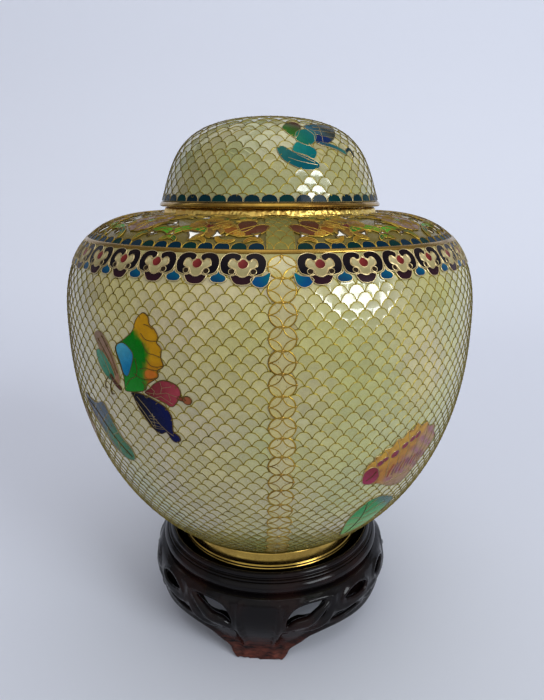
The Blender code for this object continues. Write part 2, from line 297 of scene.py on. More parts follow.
def carved_relief():
    """Bmesh of the raised lines, as round strips half sunk in the apron."""
    strips = bpy.data.curves.new("carved_lines", "CURVE")
    strips.dimensions = "3D"
    strips.bevel_depth = CARVED_LINE
    strips.bevel_resolution = 2
    strips.use_fill_caps = True
    for middle, sign in bay_sides():
        for line in carved_lines():
            spline = strips.splines.new("POLY")
            spline.points.add(len(line) - 1)
            for point, (angle, height, thickness) in zip(spline.points, line):
                sunk = apron_skin(height * MM) - CARVED_SINK
                point.co = (*round_point(middle + sign * angle, sunk, height * MM), 1.0)
                point.radius = thickness
    made = bpy.data.objects.new("carved_lines", strips)
    bpy.context.collection.objects.link(made)
    return settled(made)


def joined(*parts):
    """One bmesh from several."""
    whole = bmesh.new()
    for part in parts:
        mesh = bpy.data.meshes.new("part")
        part.to_mesh(mesh)
        part.free()
        whole.from_mesh(mesh)
        bpy.data.meshes.remove(mesh)
    return whole


def carved_apron():
    """The apron with its bays and scrolls, softened as by hand."""
    line = apron_line()
    toe = line[-1][0]
    bore = APRON_RADIUS - APRON_WALL
    section = [(ROLL_CENTRE[0] - 0.2 * ROLL_SIZE, STAND_STEP + 0.3 * MM), (line[0][0], STAND_STEP + 0.1 * MM)]
    section += line + [(toe - 1.2 * APRON_WALL, 0.0), (bore - 0.4 * TOE_TUCK, FOOT_HEIGHT)]
    section += [(bore, SEAT_LEVEL - SEAT_THICKNESS)]
    pierced = cut(spun(section, TURNED_STEPS), apron_cutters())
    carved = raw_object("carved", joined(pierced, carved_relief()))
    voxels = carved.modifiers.new("voxels", "REMESH")
    voxels.mode = "VOXEL"
    voxels.voxel_size = CARVED_VOXEL
    soft = carved.modifiers.new("soft", "SMOOTH")
    soft.factor = 0.5
    soft.iterations = 3
    return settled(carved)


def turned_rim():
    """The lip, bead and roll above the apron, with the seat inside them."""
    bead = 0.45 * MM
    under = SEAT_LEVEL - SEAT_THICKNESS
    section = [(0.0, SEAT_LEVEL), (SEAT_RADIUS, SEAT_LEVEL), (SEAT_RADIUS, STAND_HEIGHT - 0.5 * LIP_SIZE)]
    section += arc(LIP_CENTRE, LIP_SIZE, 95, -40, 8)
    section += arc((LIP_CENTRE[0] + 1.35 * LIP_SIZE, LIP_CENTRE[1] - 1.15 * LIP_SIZE), bead, 110, -60, 7)
    section += arc(ROLL_CENTRE, ROLL_SIZE, 58, -62, 14)
    section += [(ROLL_CENTRE[0], STAND_STEP - 0.4 * MM), (APRON_RADIUS - APRON_WALL, under), (0.0, under)]
    return spun(section, TURNED_STEPS, closed=False)


def feed(tree, socket, value):
    """Give a socket a value, or a link from another socket."""
    if isinstance(value, bpy.types.NodeSocket):
        tree.links.new(value, socket)
    elif hasattr(value, "__len__") and len(value) == 3 and socket.type == "RGBA":
        socket.default_value = (*value, 1.0)
    else:
        socket.default_value = value


def add(tree, kind, inputs=None, **settings):
    """A node in a tree, with its settings and its inputs by name."""
    node = tree.nodes.new(kind)
    for name, value in settings.items():
        setattr(node, name, value)
    for name, value in (inputs or {}).items():
        feed(tree, node.inputs[name], value)
    return node


def mixed(tree, share, first, second, kind="MIX"):
    """Colour between two, by a share."""
    node = add(tree, "ShaderNodeMix", data_type="RGBA", blend_type=kind)
    feed(tree, node.inputs[0], share)
    feed(tree, node.inputs[6], first)
    feed(tree, node.inputs[7], second)
    return node.outputs[2]


def ramped(tree, value, low, high, from_value=0.0, to_value=1.0):
    """Value that runs between two as another goes from low to high."""
    node = add(tree, "ShaderNodeMapRange", {"Value": value, "From Min": low, "From Max": high,
                                            "To Min": from_value, "To Max": to_value})
    return node.outputs["Result"]


def clouds(tree, places, scale, detail, roughness=0.5):
    """Cloudy noise at places, from 0 to 1."""
    return add(tree, "ShaderNodeTexNoise", {"Vector": places, "Scale": scale, "Detail": detail,
                                            "Roughness": roughness}).outputs[0]


def stretched(tree, places, along):
    """Places that make a texture finer along the Z axis."""
    return add(tree, "ShaderNodeMapping", {"Vector": places, "Scale": (1.0, 1.0, along)}).outputs[0]


def maths(tree, operation, first, second):
    """One value from two."""
    return add(tree, "ShaderNodeMath", {0: first, 1: second}, operation=operation).outputs[0]


def bumped(tree, height, strength, distance):
    """Normals of a surface with a height on it."""
    return add(tree, "ShaderNodeBump", {"Height": height, "Strength": strength,
                                        "Distance": distance}).outputs[0]


def surface(name):
    """A material with its Principled shader, its tree and the piece's own coordinates."""
    material = bpy.data.materials.new(name)
    material.use_nodes = True
    tree = material.node_tree
    places = tree.nodes.new("ShaderNodeTexCoord").outputs["Object"]
    return material, tree, tree.nodes["Principled BSDF"], places


def rosewood():
    """Dark rosewood: nearly black lacquered wood, red-brown in grain streaks low on the feet and in faint
    patches elsewhere.
    """
    material, tree, shader, places = surface("dark_rosewood")
    grain = clouds(tree, stretched(tree, places, 5.0), 260.0, 5.0, 0.6)
    height = add(tree, "ShaderNodeSeparateXYZ", {"Vector": places}).outputs["Z"]
    low = ramped(tree, height, 9 * MM, 1.5 * MM)
    red_low = maths(tree, "MULTIPLY", low, ramped(tree, grain, 0.35, 0.68))
    faint = ramped(tree, clouds(tree, places, 70.0, 3.0), 0.50, 0.80, 0.0, 0.12)
    colour = mixed(tree, maths(tree, "MAXIMUM", red_low, faint), (0.0042, 0.0032, 0.0036), (0.13, 0.034, 0.022))
    feed(tree, shader.inputs["Base Color"], colour)
    feed(tree, shader.inputs["Roughness"], ramped(tree, grain, 0.3, 0.75, 0.10, 0.22))
    shader.inputs["Specular IOR Level"].default_value = 0.12
    shader.inputs["Coat Weight"].default_value = 0.12
    shader.inputs["Coat Roughness"].default_value = 0.08
    feed(tree, shader.inputs["Normal"], bumped(tree, grain, 0.55, 0.07 * MM))
    return material


dressed("stand", joined(carved_apron(), turned_rim()), "stand", "dark_wood", rosewood())

# Foot ring: gilt brass, a plain broad band with a thin double bead below, soldered under the enamelled body.
# It is raised plate, burnished, and a little browned in patches.
RING_RADIUS = 27.5 * MM
RING_WALL = 1.2 * MM
ring_low, ring_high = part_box("foot_ring")
ring_height = ring_high.z - ring_low.z


def tarnish_group():
    """Node group for gilding: where it has browned, and its fine scratches."""
    group = bpy.data.node_groups.new("tarnish", "ShaderNodeTree")
    for name, way, kind in (("Places", "INPUT", "Vector"), ("Patches", "INPUT", "Float"),
                            ("Brown", "OUTPUT", "Float"), ("Scratches", "OUTPUT", "Float")):
        group.interface.new_socket(name, in_out=way, socket_type="NodeSocket" + kind)
    given = group.nodes.new("NodeGroupInput").outputs
    patches = clouds(group, given["Places"], given["Patches"], 4.0, 0.65)
    fine = clouds(group, stretched(group, given["Places"], 14.0), 420.0, 3.0)
    result = group.nodes.new("NodeGroupOutput").inputs
    group.links.new(ramped(group, patches, 0.42, 0.72), result["Brown"])
    group.links.new(fine, result["Scratches"])
    return group


tarnish = tarnish_group()


def gilding(name, bright, brown, smooth, rough, patches=90.0, dents=0.0):
    """Gilt metal, burnished or hammered, browned in patches."""
    material, tree, shader, places = surface(name)
    wear = add(tree, "ShaderNodeGroup", node_tree=tarnish)
    feed(tree, wear.inputs["Places"], places)
    feed(tree, wear.inputs["Patches"], patches)
    feed(tree, shader.inputs["Base Color"], mixed(tree, wear.outputs["Brown"], bright, brown))
    shader.inputs["Metallic"].default_value = 1.0
    feed(tree, shader.inputs["Roughness"], ramped(tree, wear.outputs["Brown"], 0.0, 1.0, smooth, rough))
    normal = bumped(tree, wear.outputs["Scratches"], 0.12, 0.03 * MM)
    if dents:
        cells = add(tree, "ShaderNodeTexVoronoi", {"Vector": places, "Scale": 1.0 / dents},
                    feature="SMOOTH_F1")
        normal = add(tree, "ShaderNodeBump", {"Height": cells.outputs["Distance"], "Strength": 1.0,
                                              "Distance": 0.35 * MM, "Normal": normal}).outputs[0]
    feed(tree, shader.inputs["Normal"], normal)
    return material


def ring_section():
    """Half section of the foot ring: a flared band, its double bead, and the plate that closes the jar."""
    inner = RING_RADIUS - RING_WALL
    low = ring_low.z
    top = ring_high.z
    foot = low + 0.43 * ring_height
    plate = low + 2.0 * MM
    plate_top = low + 3.0 * MM
    section = [(0.0, plate), (inner, plate), (inner, low), (RING_RADIUS + 0.6 * MM, low)]
    section += [(RING_RADIUS + 0.7 * MM, foot - 1.5 * MM)]
    section += arc((RING_RADIUS + 0.5 * MM, foot - 0.15 * MM), 0.42 * MM, -70, 50, 6)
    section += arc((RING_RADIUS + 0.35 * MM, foot + 0.65 * MM), 0.45 * MM, -50, 70, 6)
    section += cubic((RING_RADIUS + 0.5 * MM, foot + 1.1 * MM), (RING_RADIUS + 0.35 * MM, foot + 1.8 * MM),
                     (RING_RADIUS + 0.1 * MM, foot + 3.0 * MM), (RING_RADIUS - 0.4 * MM, top), 8)
    return section + [(inner, top), (inner, plate_top), (0.0, plate_top)]


burnished = gilding("burnished_gilt", (0.62, 0.42, 0.10), (0.24, 0.14, 0.035), 0.14, 0.32)
dressed("foot_ring", spun(ring_section(), 128, closed=False), "foot_ring", "gilt", burnished)

# Jar wall: thin copper raised to a broad shoulder and covered inside and out with pale clear enamel. The
# shoulder is pierced between its flowers and leaves, and each opening has a gilt edge.
WALL_THICKNESS = 1.2 * MM
WALL_STEPS = 192
CELL_ROOM = 0.15 * MM
BELLY_RADIUS = 57.35 * MM
PANEL_COUNT = 4
BAND_TURN = 2.8
PANEL_HALF = 180.0 / PANEL_COUNT
RING_DROP = 22.3 * MM
OPENWORK_ROWS = (
    (16.8 * MM, 2.1 * MM, (8.2, 15.0, 21.8, 28.6, 39.0)),
    (11.8 * MM, 1.8 * MM, (11.6, 25.2)),
    (6.0 * MM, 1.6 * MM, (6.0, 19.0)),
)
LINING_DEPTH = 0.32 * MM
ON_BELLY, ON_SHOULDER, INSIDE = range(3)
wall_low, wall_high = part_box("jar_shell")
mouth_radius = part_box("neck_collar")[1].x + 0.3 * MM


class Wall:
    """A turned wall, known by its outer line from the foot up. Places on it are an angle and a rise."""

    def __init__(self, line):
        self.line = line
        self.lengths = [0.0]
        for (r0, z0), (r1, z1) in zip(line, line[1:]):
            self.lengths.append(self.lengths[-1] + math.hypot(r1 - r0, z1 - z0))
        self.span = self.lengths[-1]

    def section(self, rise):
        """Radius, height and outward direction at a rise."""
        index = min(max(bisect.bisect_right(self.lengths, rise) - 1, 0), len(self.line) - 2)
        (r0, z0), (r1, z1) = self.line[index:index + 2]
        length = self.lengths[index + 1] - self.lengths[index]
        share = (rise - self.lengths[index]) / length
        return r0 + (r1 - r0) * share, z0 + (z1 - z0) * share, (z1 - z0) / length, (r0 - r1) / length

    def at(self, angle, rise, lift=0.0):
        """Point on the wall, or lifted off it."""
        r, z, out, up = self.section(rise)
        return round_point(angle, r + lift * out, z + lift * up)

    def outward(self, angle, rise):
        """Direction straight out of the wall."""
        r, z, out, up = self.section(rise)
        return round_point(angle, out, up)

    def radius(self, rise):
        """Radius at a rise."""
        return self.section(rise)[0]


def shell_line(count_belly, count_shoulder):
    """Outer line of the body, from its foot up to its mouth."""
    low = wall_low.z
    belly_height = 62.2 * MM
    shoulder_height = wall_high.z - low - belly_height
    spread = BELLY_RADIUS - RING_RADIUS
    widest = (BELLY_RADIUS, low + belly_height)
    belly = cubic((RING_RADIUS, low), (RING_RADIUS + 0.663 * spread, low + 0.203 * belly_height),
                  (BELLY_RADIUS, low + 0.59 * belly_height), widest, count_belly)
    shoulder = cubic(widest, (BELLY_RADIUS, widest[1] + 0.315 * shoulder_height),
                     (BELLY_RADIUS + 0.05 * spread, wall_high.z + 0.02 * shoulder_height),
                     (mouth_radius, wall_high.z), count_shoulder)
    return belly + shoulder[1:]


def moved_line(line, distance):
    """The same line moved out by a distance, or in where it is negative."""
    result = []
    for index in range(len(line)):
        before = line[max(index - 1, 0)]
        after = line[min(index + 1, len(line) - 1)]
        along = Vector((after[0] - before[0], after[1] - before[1])).normalized()
        result.append((line[index][0] + distance * along.y, line[index][1] - distance * along.x))
    return result


body = Wall(shell_line(150, 150))
RING_RISE = body.span - RING_DROP


def hole_outline(reach, flip, steps=2):
    """Outline of one opening, a triangle with hollow sides, flat and round its own middle."""
    corners = []
    for corner in range(6):
        turn = math.radians(60 * corner - 30 + flip)
        size = reach if corner % 2 else 0.42 * reach
        corners.append((size * math.cos(turn), size * math.sin(turn)))
    return rounded(corners, steps)


def panel_middle(panel):
    """Angle of a panel's middle."""
    return BAND_TURN + PANEL_HALF + panel * 2 * PANEL_HALF


def openings():
    """Angle, rise, reach and turn of every opening in the shoulder.

    They are sawn by hand, so none is the same. An opening with a turn of 0 points away from the mouth.
    """
    chance = random.Random(31)
    for panel in range(PANEL_COUNT):
        for row, (drop, reach, offsets) in enumerate(OPENWORK_ROWS):
            for place, offset in enumerate(offsets):
                for sign in (-1, 1):
                    size = reach * chance.uniform(0.5, 1.05)
                    flip = 180 * ((row + place) % 2) + chance.uniform(-35, 35)
                    yield panel_middle(panel) + sign * offset, body.span - drop, size, flip


def opening_frames():
    """Every opening's middle, its directions to the side, down the wall and out of it, and its outline."""
    for angle, rise, reach, flip in openings():
        out = body.outward(angle, rise)
        side = round_point(angle + 90, 1.0, 0.0)
        down = side.cross(out).normalized()
        yield body.at(angle, rise), side, down, out, reach, hole_outline(reach, flip)


def opening_cutters():
    """Bodies that pierce the shoulder."""
    bm = bmesh.new()
    for centre, side, down, out, reach, outline in opening_frames():
        plug(bm, [[centre + out * lift + side * u - down * v for u, v in outline]
                  for lift in (-2.5 * WALL_THICKNESS, 2.0 * WALL_THICKNESS)])
    return bm


def nearest_rise(point):
    """Rise of the place on the body's line nearest to a point."""
    r = math.hypot(point.x, point.y)
    best = min(range(0, len(body.line), 3),
               key=lambda index: (body.line[index][0] - r) ** 2 + (body.line[index][1] - point.z) ** 2)
    return body.lengths[best]


def jar_wall():
    """The pierced wall, a hair under its cells: amber ground on the shoulder, and inside a pale lining that
    glows as painted light.
    """
    outer = moved_line(shell_line(26, 26), -CELL_ROOM)
    inner = moved_line(shell_line(16, 16), -WALL_THICKNESS)
    bm = cut(spun(outer + inner[::-1], WALL_STEPS), opening_cutters())
    for face in bm.faces:
        middle = face.calc_center_median()
        rise = nearest_rise(middle)
        r, z, out, up = body.section(rise)
        depth = (r - math.hypot(middle.x, middle.y)) * out + (z - middle.z) * up
        face.material_index = ON_SHOULDER if rise > RING_RISE else ON_BELLY
        if depth > LINING_DEPTH:
            face.material_index = INSIDE
    return bm


def clear_enamel(name, tint=None, shine=0.12):
    """Glassy enamel, polished, with a faint cloud in it. Without a tint its colours are the piece's own."""
    material, tree, shader, places = surface(name)
    if tint is None:
        tint = add(tree, "ShaderNodeAttribute", attribute_name="tint").outputs["Color"]
    cloud = clouds(tree, places, 900.0, 3.0)
    deeper = mixed(tree, ramped(tree, cloud, 0.35, 0.65, 0.0, 0.30), (1.0, 1.0, 1.0), (0.55, 0.52, 0.45))
    feed(tree, shader.inputs["Base Color"], mixed(tree, 1.0, tint, deeper, "MULTIPLY"))
    feed(tree, shader.inputs["Roughness"], ramped(tree, cloud, 0.3, 0.7, 0.16, 0.32))
    shader.inputs["Specular IOR Level"].default_value = shine
    shader.inputs["Coat Weight"].default_value = 0.9 * shine
    shader.inputs["Coat Roughness"].default_value = 0.05
    feed(tree, shader.inputs["Normal"], bumped(tree, clouds(tree, places, 380.0, 2.0), 0.25, 0.08 * MM))
    return material


wall_enamel = clear_enamel("wall_enamel", (0.50, 0.42, 0.20))
ground_enamel = clear_enamel("ground_enamel", (0.15, 0.112, 0.02))
# A pale lining that glows: painted light for the light that the openings let into the jar.
painted_glow_lining = clear_enamel("painted_glow_lining", (0.80, 0.79, 0.74))
painted_glow = painted_glow_lining.node_tree.nodes["Principled BSDF"].inputs
painted_glow["Emission Color"].default_value = (0.80, 0.82, 0.86, 1.0)
painted_glow["Emission Strength"].default_value = 0.42
wall = dressed("jar_wall", jar_wall(), "jar_shell", "wire_enamel", wall_enamel, ground_enamel, painted_glow_lining)
wall.data.set_sharp_from_angle(angle=math.radians(40))

# Scale net: the whole belly is a net of fine gilt wire in fish scales, filled with pale enamel. The net
# is bent by hand, so no two scales are the same, and the four bands and the pictures break it.
NET_COUNT = 96
NET_STEP = 1.74 * MM
NET_START = 0.8 * MM
NET_TOP = 94.6 * MM
WIRE_WIDTH = 0.25 * MM
WIRE_HEIGHT = 0.11 * MM
WIRE_SUNK = 0.06 * MM
DISH_SHARE = 0.76
DISH_DEPTH = 0.03 * MM
BAND_COVER = 1.595 * MM
ARCH_STEPS = 8
ARCH_BOW = 2.8
CELL_STEPS = 6
BEND_ACROSS = 0.13 * MM
BEND_UP = 0.12 * MM
SLIP_ACROSS = 0.12
SLIP_UP = 0.09


def tone(red, green, blue):
    """Linear colour from one as the eye sees it, 0 to 255."""
    parts = []
    for value in (red, green, blue):
        value = value / 255
        parts.append(value / 12.92 if value <= 0.04045 else ((value + 0.055) / 1.055) ** 2.4)
    return Vector(parts)


def clamp(value):
    """A value kept between 0 and 1."""
    return min(max(value, 0.0), 1.0)


def wave(angle, shift):
    """Sine of an angle in degrees, shifted along."""
    return math.sin(math.radians(angle) + shift)


class Net:
    """Fish-scale net on a wall: rows of feet, each the top of a scale below."""

    def __init__(self, wall, start, step, counts, seed):
        chance = random.Random(seed)
        self.wall = wall
        self.counts = counts
        self.rows = []
        for row, count in enumerate(counts):
            feet = []
            for place in range(count):
                angle = (place + 0.5 * (row % 2)) * 360.0 / count
                rise = start + row * step
                reach = math.degrees(1 / wall.radius(rise))
                wander = wave(9 * angle, 0.42 * row) + wave(4 * angle, -0.23 * row)
                angle += (BEND_ACROSS * wander + chance.uniform(-SLIP_ACROSS, SLIP_ACROSS) * MM) * reach
                rise += BEND_UP * wave(7 * angle, 0.31 * row) + chance.uniform(-SLIP_UP, SLIP_UP) * MM
                feet.append((angle, rise))
            self.rows.append(feet)

    def foot(self, row, place):
        """A foot, with places past the end taken round the wall."""
        count = self.counts[row]
        angle, rise = self.rows[row][place % count]
        return angle + 360.0 * (place // count), rise

    def arch(self, row, place, steps):
        """Line of one scale's top, from its left foot over to its right foot."""
        left = self.foot(row, place)
        right = self.foot(row, place + 1)
        middle = ((left[0] + right[0]) / 2, (left[1] + right[1]) / 2)
        if row + 1 < len(self.counts) and self.counts[row + 1] == self.counts[row]:
            top = self.foot(row + 1, place + row % 2)
        else:
            top = (middle[0], middle[1] + self.step(row))
        points = []
        for step in range(steps + 1):
            across = (1 - math.cos(math.pi * step / steps)) / 2
            up = 1 - abs(2 * across - 1) ** ARCH_BOW
            points.append(tuple(a + (b - a) * across + (high - flat) * up
                                for a, b, high, flat in zip(left, right, top, middle)))
        return points

    def step(self, row):
        """Height of a row."""
        other = row + 1 if row + 1 < len(self.rows) else row - 1
        return abs(self.rows[other][0][1] - self.rows[row][0][1])

    def scale(self, row, place, steps):
        """Outline of one cell: its own arch, and the two half arches that it stands on."""
        top = self.arch(row, place, steps)
        half = steps // 2
        if row and self.counts[row - 1] == self.counts[row]:
            below = place - 1 + row % 2
            left = self.arch(row - 1, below, steps)
            right = self.arch(row - 1, below + 1, steps)
            return top[::-1] + left[half + 1:] + right[1:half]
        left = top[0]
        right = top[-1]
        low = left[1] - self.step(row)
        if row == 0:
            return top[::-1] + [(left[0], left[1] - 0.2 * MM), (right[0], right[1] - 0.2 * MM)]
        return top[::-1] + [(left[0], left[1] - 0.25 * self.step(row)), ((left[0] + right[0]) / 2, low),
                            (right[0], right[1] - 0.25 * self.step(row))]


def wire_bmesh(wall, runs, width, height, lift=0.0, flare=1.0):
    """Raised wires along runs of places on a wall, each a strip with a crown between its two feet.

    The ends of open wires may be wider, where solder has run along them.
    """
    bm = bmesh.new()
    key = bm.verts.layers.int.new("key")
    rows = ([], [], [])
    outs = []
    for run in runs:
        closed = run[0] == run[-1]
        line = run[:-1] if closed else run
        count = len(line)
        if count < 2:
            continue
        verts = []
        for index in range(count):
            before = line[index - 1] if closed or index else line[0]
            after = line[(index + 1) % count] if closed or index < count - 1 else line[-1]
            angle, rise = line[index]
            reach = math.radians(wall.radius(rise))
            along = Vector(((after[0] - before[0]) * reach, after[1] - before[1])).normalized()
            wide = 0.5 * width * (flare if not closed and index in (0, count - 1) else 1.0)
            side = (-along.y * wide / reach, along.x * wide)
            rows[0].append(wall.at(angle + side[0], rise + side[1], lift - WIRE_SUNK))
            rows[1].append(wall.at(angle, rise, lift + height * wide / (0.5 * width)))
            rows[2].append(wall.at(angle - side[0], rise - side[1], lift - WIRE_SUNK))
            outs.append(wall.outward(angle, rise))
            vert = bm.verts.new(rows[0][-1])
            vert[key] = len(outs) - 1
            verts.append(vert)
        for pair in zip(verts, verts[1:]):
            bm.edges.new(pair)
        if closed:
            bm.edges.new((verts[-1], verts[0]))
    edges = bm.edges[:]
    for row in rows[1:]:
        grown = bmesh.ops.extrude_edge_only(bm, edges=edges)["geom"]
        fresh = {part for part in grown if isinstance(part, bmesh.types.BMVert)}
        for vert in fresh:
            vert.co = row[vert[key]]
        edges = [part for part in grown if isinstance(part, bmesh.types.BMEdge)
                 and part.verts[0] in fresh and part.verts[1] in fresh]
    bm.normal_update()
    wrong = [face for face in bm.faces if face.normal.dot(outs[face.verts[0][key]]) < 0]
    bmesh.ops.reverse_faces(bm, faces=wrong)
    return bm


def net_cells(net, cells, shade):
    """Bmesh of a net's enamel cells, each a shallow dish in its edge colour along its wires and its heart
    colour within; on the body the lighter edge is a painted highlight.
    """
    bm = bmesh.new()
    tint = bm.verts.layers.float_color.new("tint")
    faces = []
    shades = []
    for row, place in cells:
        outline = net.scale(row, place, CELL_STEPS)
        middle = [sum(place[axis] for place in outline) / len(outline) for axis in (0, 1)]
        edge, heart = shade(*middle)
        verts = []
        for angle, rise in outline:
            vert = bm.verts.new(net.wall.at(angle, rise))
            vert[tint] = (*edge, 1.0)
            verts.append(vert)
        faces.append(bm.faces.new(verts))
        shades.append((edge, heart))
    bm.normal_update()
    out = net.wall.outward(*net.scale(*cells[0], CELL_STEPS)[0])
    if faces[0].normal.dot(out) < 0:
        bmesh.ops.reverse_faces(bm, faces=faces)
    bmesh.ops.inset_individual(bm, faces=faces, thickness=0.0, depth=0.0)
    for face, (edge, heart) in zip(faces, shades):
        middle = face.calc_center_median()
        for vert in face.verts:
            vert.co = middle + (vert.co - middle) * DISH_SHARE - face.normal * DISH_DEPTH
            vert[tint] = (*edge.lerp(heart, 0.9), 1.0)
    for vert in bmesh.ops.poke(bm, faces=faces, center_mode="MEAN")["verts"]:
        vert[tint] = (*heart_near(vert, tint), 1.0)
    return bm


def heart_near(vert, tint):
    """Mean colour of the points round one."""
    around = [edge.other_vert(vert)[tint].xyz for edge in vert.link_edges]
    return sum(around, Vector((0, 0, 0))) / len(around)


CREAM = tone(204, 190, 126)
CREAM_EDGE = tone(204, 186, 68)
PALE_GREEN = tone(156, 172, 90)
ROSE_GREY = tone(200, 183, 148)
shade_chance = random.Random(11)


def net_shade(angle, rise):
    """Edge and heart colours of a scale at a place on the body, with painted shade towards the bottom and a
    painted highlight along the wires.
    """
    turn = math.radians(angle)
    point = Vector((60 * math.sin(turn), 60 * math.cos(turn), rise / MM)) * 0.045
    green = clamp(0.5 + 1.3 * noise(point) + 0.25 * math.sin(2 * turn)) ** 2
    high = rise / NET_TOP
    pink = clamp(0.2 + 0.3 * high + 1.2 * noise(point * 2.1 + Vector((9, 3, 5))))
    heart = CREAM.lerp(ROSE_GREY, pink).lerp(PALE_GREEN, 0.25 * (1 - high) + 0.45 * green)
    edge = CREAM_EDGE.lerp(PALE_GREEN, 0.4 * green)
    # Painted shade: on top of a random tone, scales darken towards the foot of the body.
    light = shade_chance.uniform(0.82, 1.06) * (0.74 + 0.28 * high)
    # The edge is yellower enamel, and its extra brightness over the heart, greatest low down, is a painted
    # highlight along the wires.
    return edge * (light + 0.04 + 0.14 * (1 - high)), heart * light


def band_angles():
    """Angles of the four bands of coins."""
    return [BAND_TURN + panel * 2 * PANEL_HALF for panel in range(PANEL_COUNT)]


def from_band(angle, rise):
    """Distance along the wall from the nearest band's middle."""
    turned = (angle - BAND_TURN + PANEL_HALF) % (2 * PANEL_HALF) - PANEL_HALF
    return abs(math.radians(turned)) * body.radius(rise)


# Pictures: a lotus and a leaf float on the net in each panel, with a butterfly and a second leaf in two of
# them. Each is an outline of wire with clear blue, green, purple and amber enamel shading into one another.
# The net is laid here too, round their outlines.
PICTURE_LIFT = 0.07 * MM
LAYER = 0.01 * MM
NET_MARGIN = 9.0
PANEL_SHIFTS = (0.0, 3.0, 6.0, -16.0)


class Picture:
    """A picture's place on a wall. Its own points are millimetres to the right of and above its middle."""

    def __init__(self, wall, angle, rise, turn=0.0, size=1.0, mirror=1, lift=PICTURE_LIFT):
        self.wall = wall
        self.angle = angle
        self.rise = rise
        self.lift = lift
        self.cos = math.cos(math.radians(turn)) * size
        self.sin = math.sin(math.radians(turn)) * size
        self.mirror = mirror
        self.cells = []
        self.wires = []
        self.pale_wires = []
        self.covers = []

    def flat(self, point):
        """A picture's point turned and sized, in metres."""
        u, v = point
        return (self.mirror * (u * self.cos - v * self.sin) * MM, (u * self.sin + v * self.cos) * MM)

    def own(self, place):
        """A flat place back as the picture's own point."""
        u = self.mirror * place[0] / MM
        v = place[1] / MM
        size = self.cos ** 2 + self.sin ** 2
        return ((u * self.cos + v * self.sin) / size, (v * self.cos - u * self.sin) / size)

    def on_wall(self, place):
        """Angle and rise of a flat place."""
        rise = self.rise + place[1]
        return self.angle + math.degrees(place[0] / self.wall.radius(rise)), rise

    def fill(self, outline, colour, layer=0):
        """Enamel, some layers up. Its colour is one colour, or a function of the picture's own points."""
        self.cells.append(([self.flat(point) for point in outline], colour, self.lift + layer * LAYER))

    def line(self, points, closed=False, pale=False):
        """A wire along points, brown or rubbed pale."""
        places = [self.on_wall(self.flat(point)) for point in points]
        (self.pale_wires if pale else self.wires).append(places + places[:1] if closed else places)

    def veins(self, lines, steps=3, pale=False):
        """Wires along smooth open lines, or straight ones with 1 step."""
        for line in lines:
            self.line(curve(line, steps), pale=pale)

    def cell(self, outline, colour, layer=0, pale=False):
        """A cell of enamel with its wire round it."""
        self.fill(outline, colour, layer)
        self.line(outline, closed=True, pale=pale)

    def cover(self, outline):
        """Keep the net out of an outline."""
        self.covers.append([self.on_wall(self.flat(point)) for point in outline])


def inside(polygon, place):
    """True if a place lies in a polygon of places."""
    x, y = place
    found = False
    for (x0, y0), (x1, y1) in zip(polygon, polygon[1:] + polygon[:1]):
        if (y0 > y) != (y1 > y) and x < x0 + (x1 - x0) * (y - y0) / (y1 - y0):
            found = not found
    return found


def signed_area(outline):
    """Twice the area of a flat outline, negative where it runs clockwise."""
    return sum(x0 * y1 - x1 * y0 for (x0, y0), (x1, y1) in zip(outline, outline[1:] + outline[:1]))


def enamel_bmesh(pictures, grid=1.5 * MM):
    """Bmesh of the enamel cells of pictures, cut finely enough to lie on their walls."""
    bm = bmesh.new()
    tint = bm.verts.layers.float_color.new("tint")
    owner = bm.faces.layers.int.new("owner")
    owners = []
    for picture in pictures:
        for outline, colour, lift in picture.cells:
            if signed_area(outline) < 0:
                outline = outline[::-1]
            face = bm.faces.new([bm.verts.new((u, v, 0.0)) for u, v in outline])
            face[owner] = len(owners)
            owners.append((picture, colour, lift))
    for axis in (0, 1):
        low = min(vert.co[axis] for vert in bm.verts)
        high = max(vert.co[axis] for vert in bm.verts)
        normal = [0.0, 0.0, 0.0]
        normal[axis] = 1.0
        for number in range(math.ceil(low / grid), math.floor(high / grid) + 1):
            point = [0.0, 0.0, 0.0]
            point[axis] = number * grid + 0.013 * MM
            near = []
            for face in bm.faces:
                ends = [vert.co[axis] for vert in face.verts]
                if min(ends) < point[axis] < max(ends):
                    near.append(face)
            geom = near + list({edge for face in near for edge in face.edges})
            geom += list({vert for face in near for vert in face.verts})
            bmesh.ops.bisect_plane(bm, geom=geom, dist=1e-7, plane_co=point, plane_no=normal)
    bmesh.ops.triangulate(bm, faces=bm.faces[:])
    for vert in bm.verts:
        if not vert.link_faces:
            continue
        picture, colour, lift = owners[vert.link_faces[0][owner]]
        place = (vert.co.x, vert.co.y)
        value = colour(*picture.own(place)) if callable(colour) else colour
        vert[tint] = (*value, 1.0)
        vert.co = picture.wall.at(*picture.on_wall(place), lift)
    return bm


def shaded(first, second, start, end):
    """Colour that runs from one to another along a line, as a function of a picture's own points."""
    span = Vector((end[0] - start[0], end[1] - start[1]))

    def colour(u, v):
        share = Vector((u - start[0], v - start[1])).dot(span) / span.length_squared
        return first.lerp(second, clamp(share + 0.12 * noise(Vector((u, v, 0.0)) * 0.7)))

    return colour


def oval(u, v, across, up, turn=0.0, count=12):
    """Outline of an oval."""
    cos = math.cos(math.radians(turn))
    sin = math.sin(math.radians(turn))
    points = []
    for step in range(count):
        x = across * math.cos(math.tau * step / count)
        y = up * math.sin(math.tau * step / count)
        points.append((u + x * cos - y * sin, v + x * sin + y * cos))
    return points


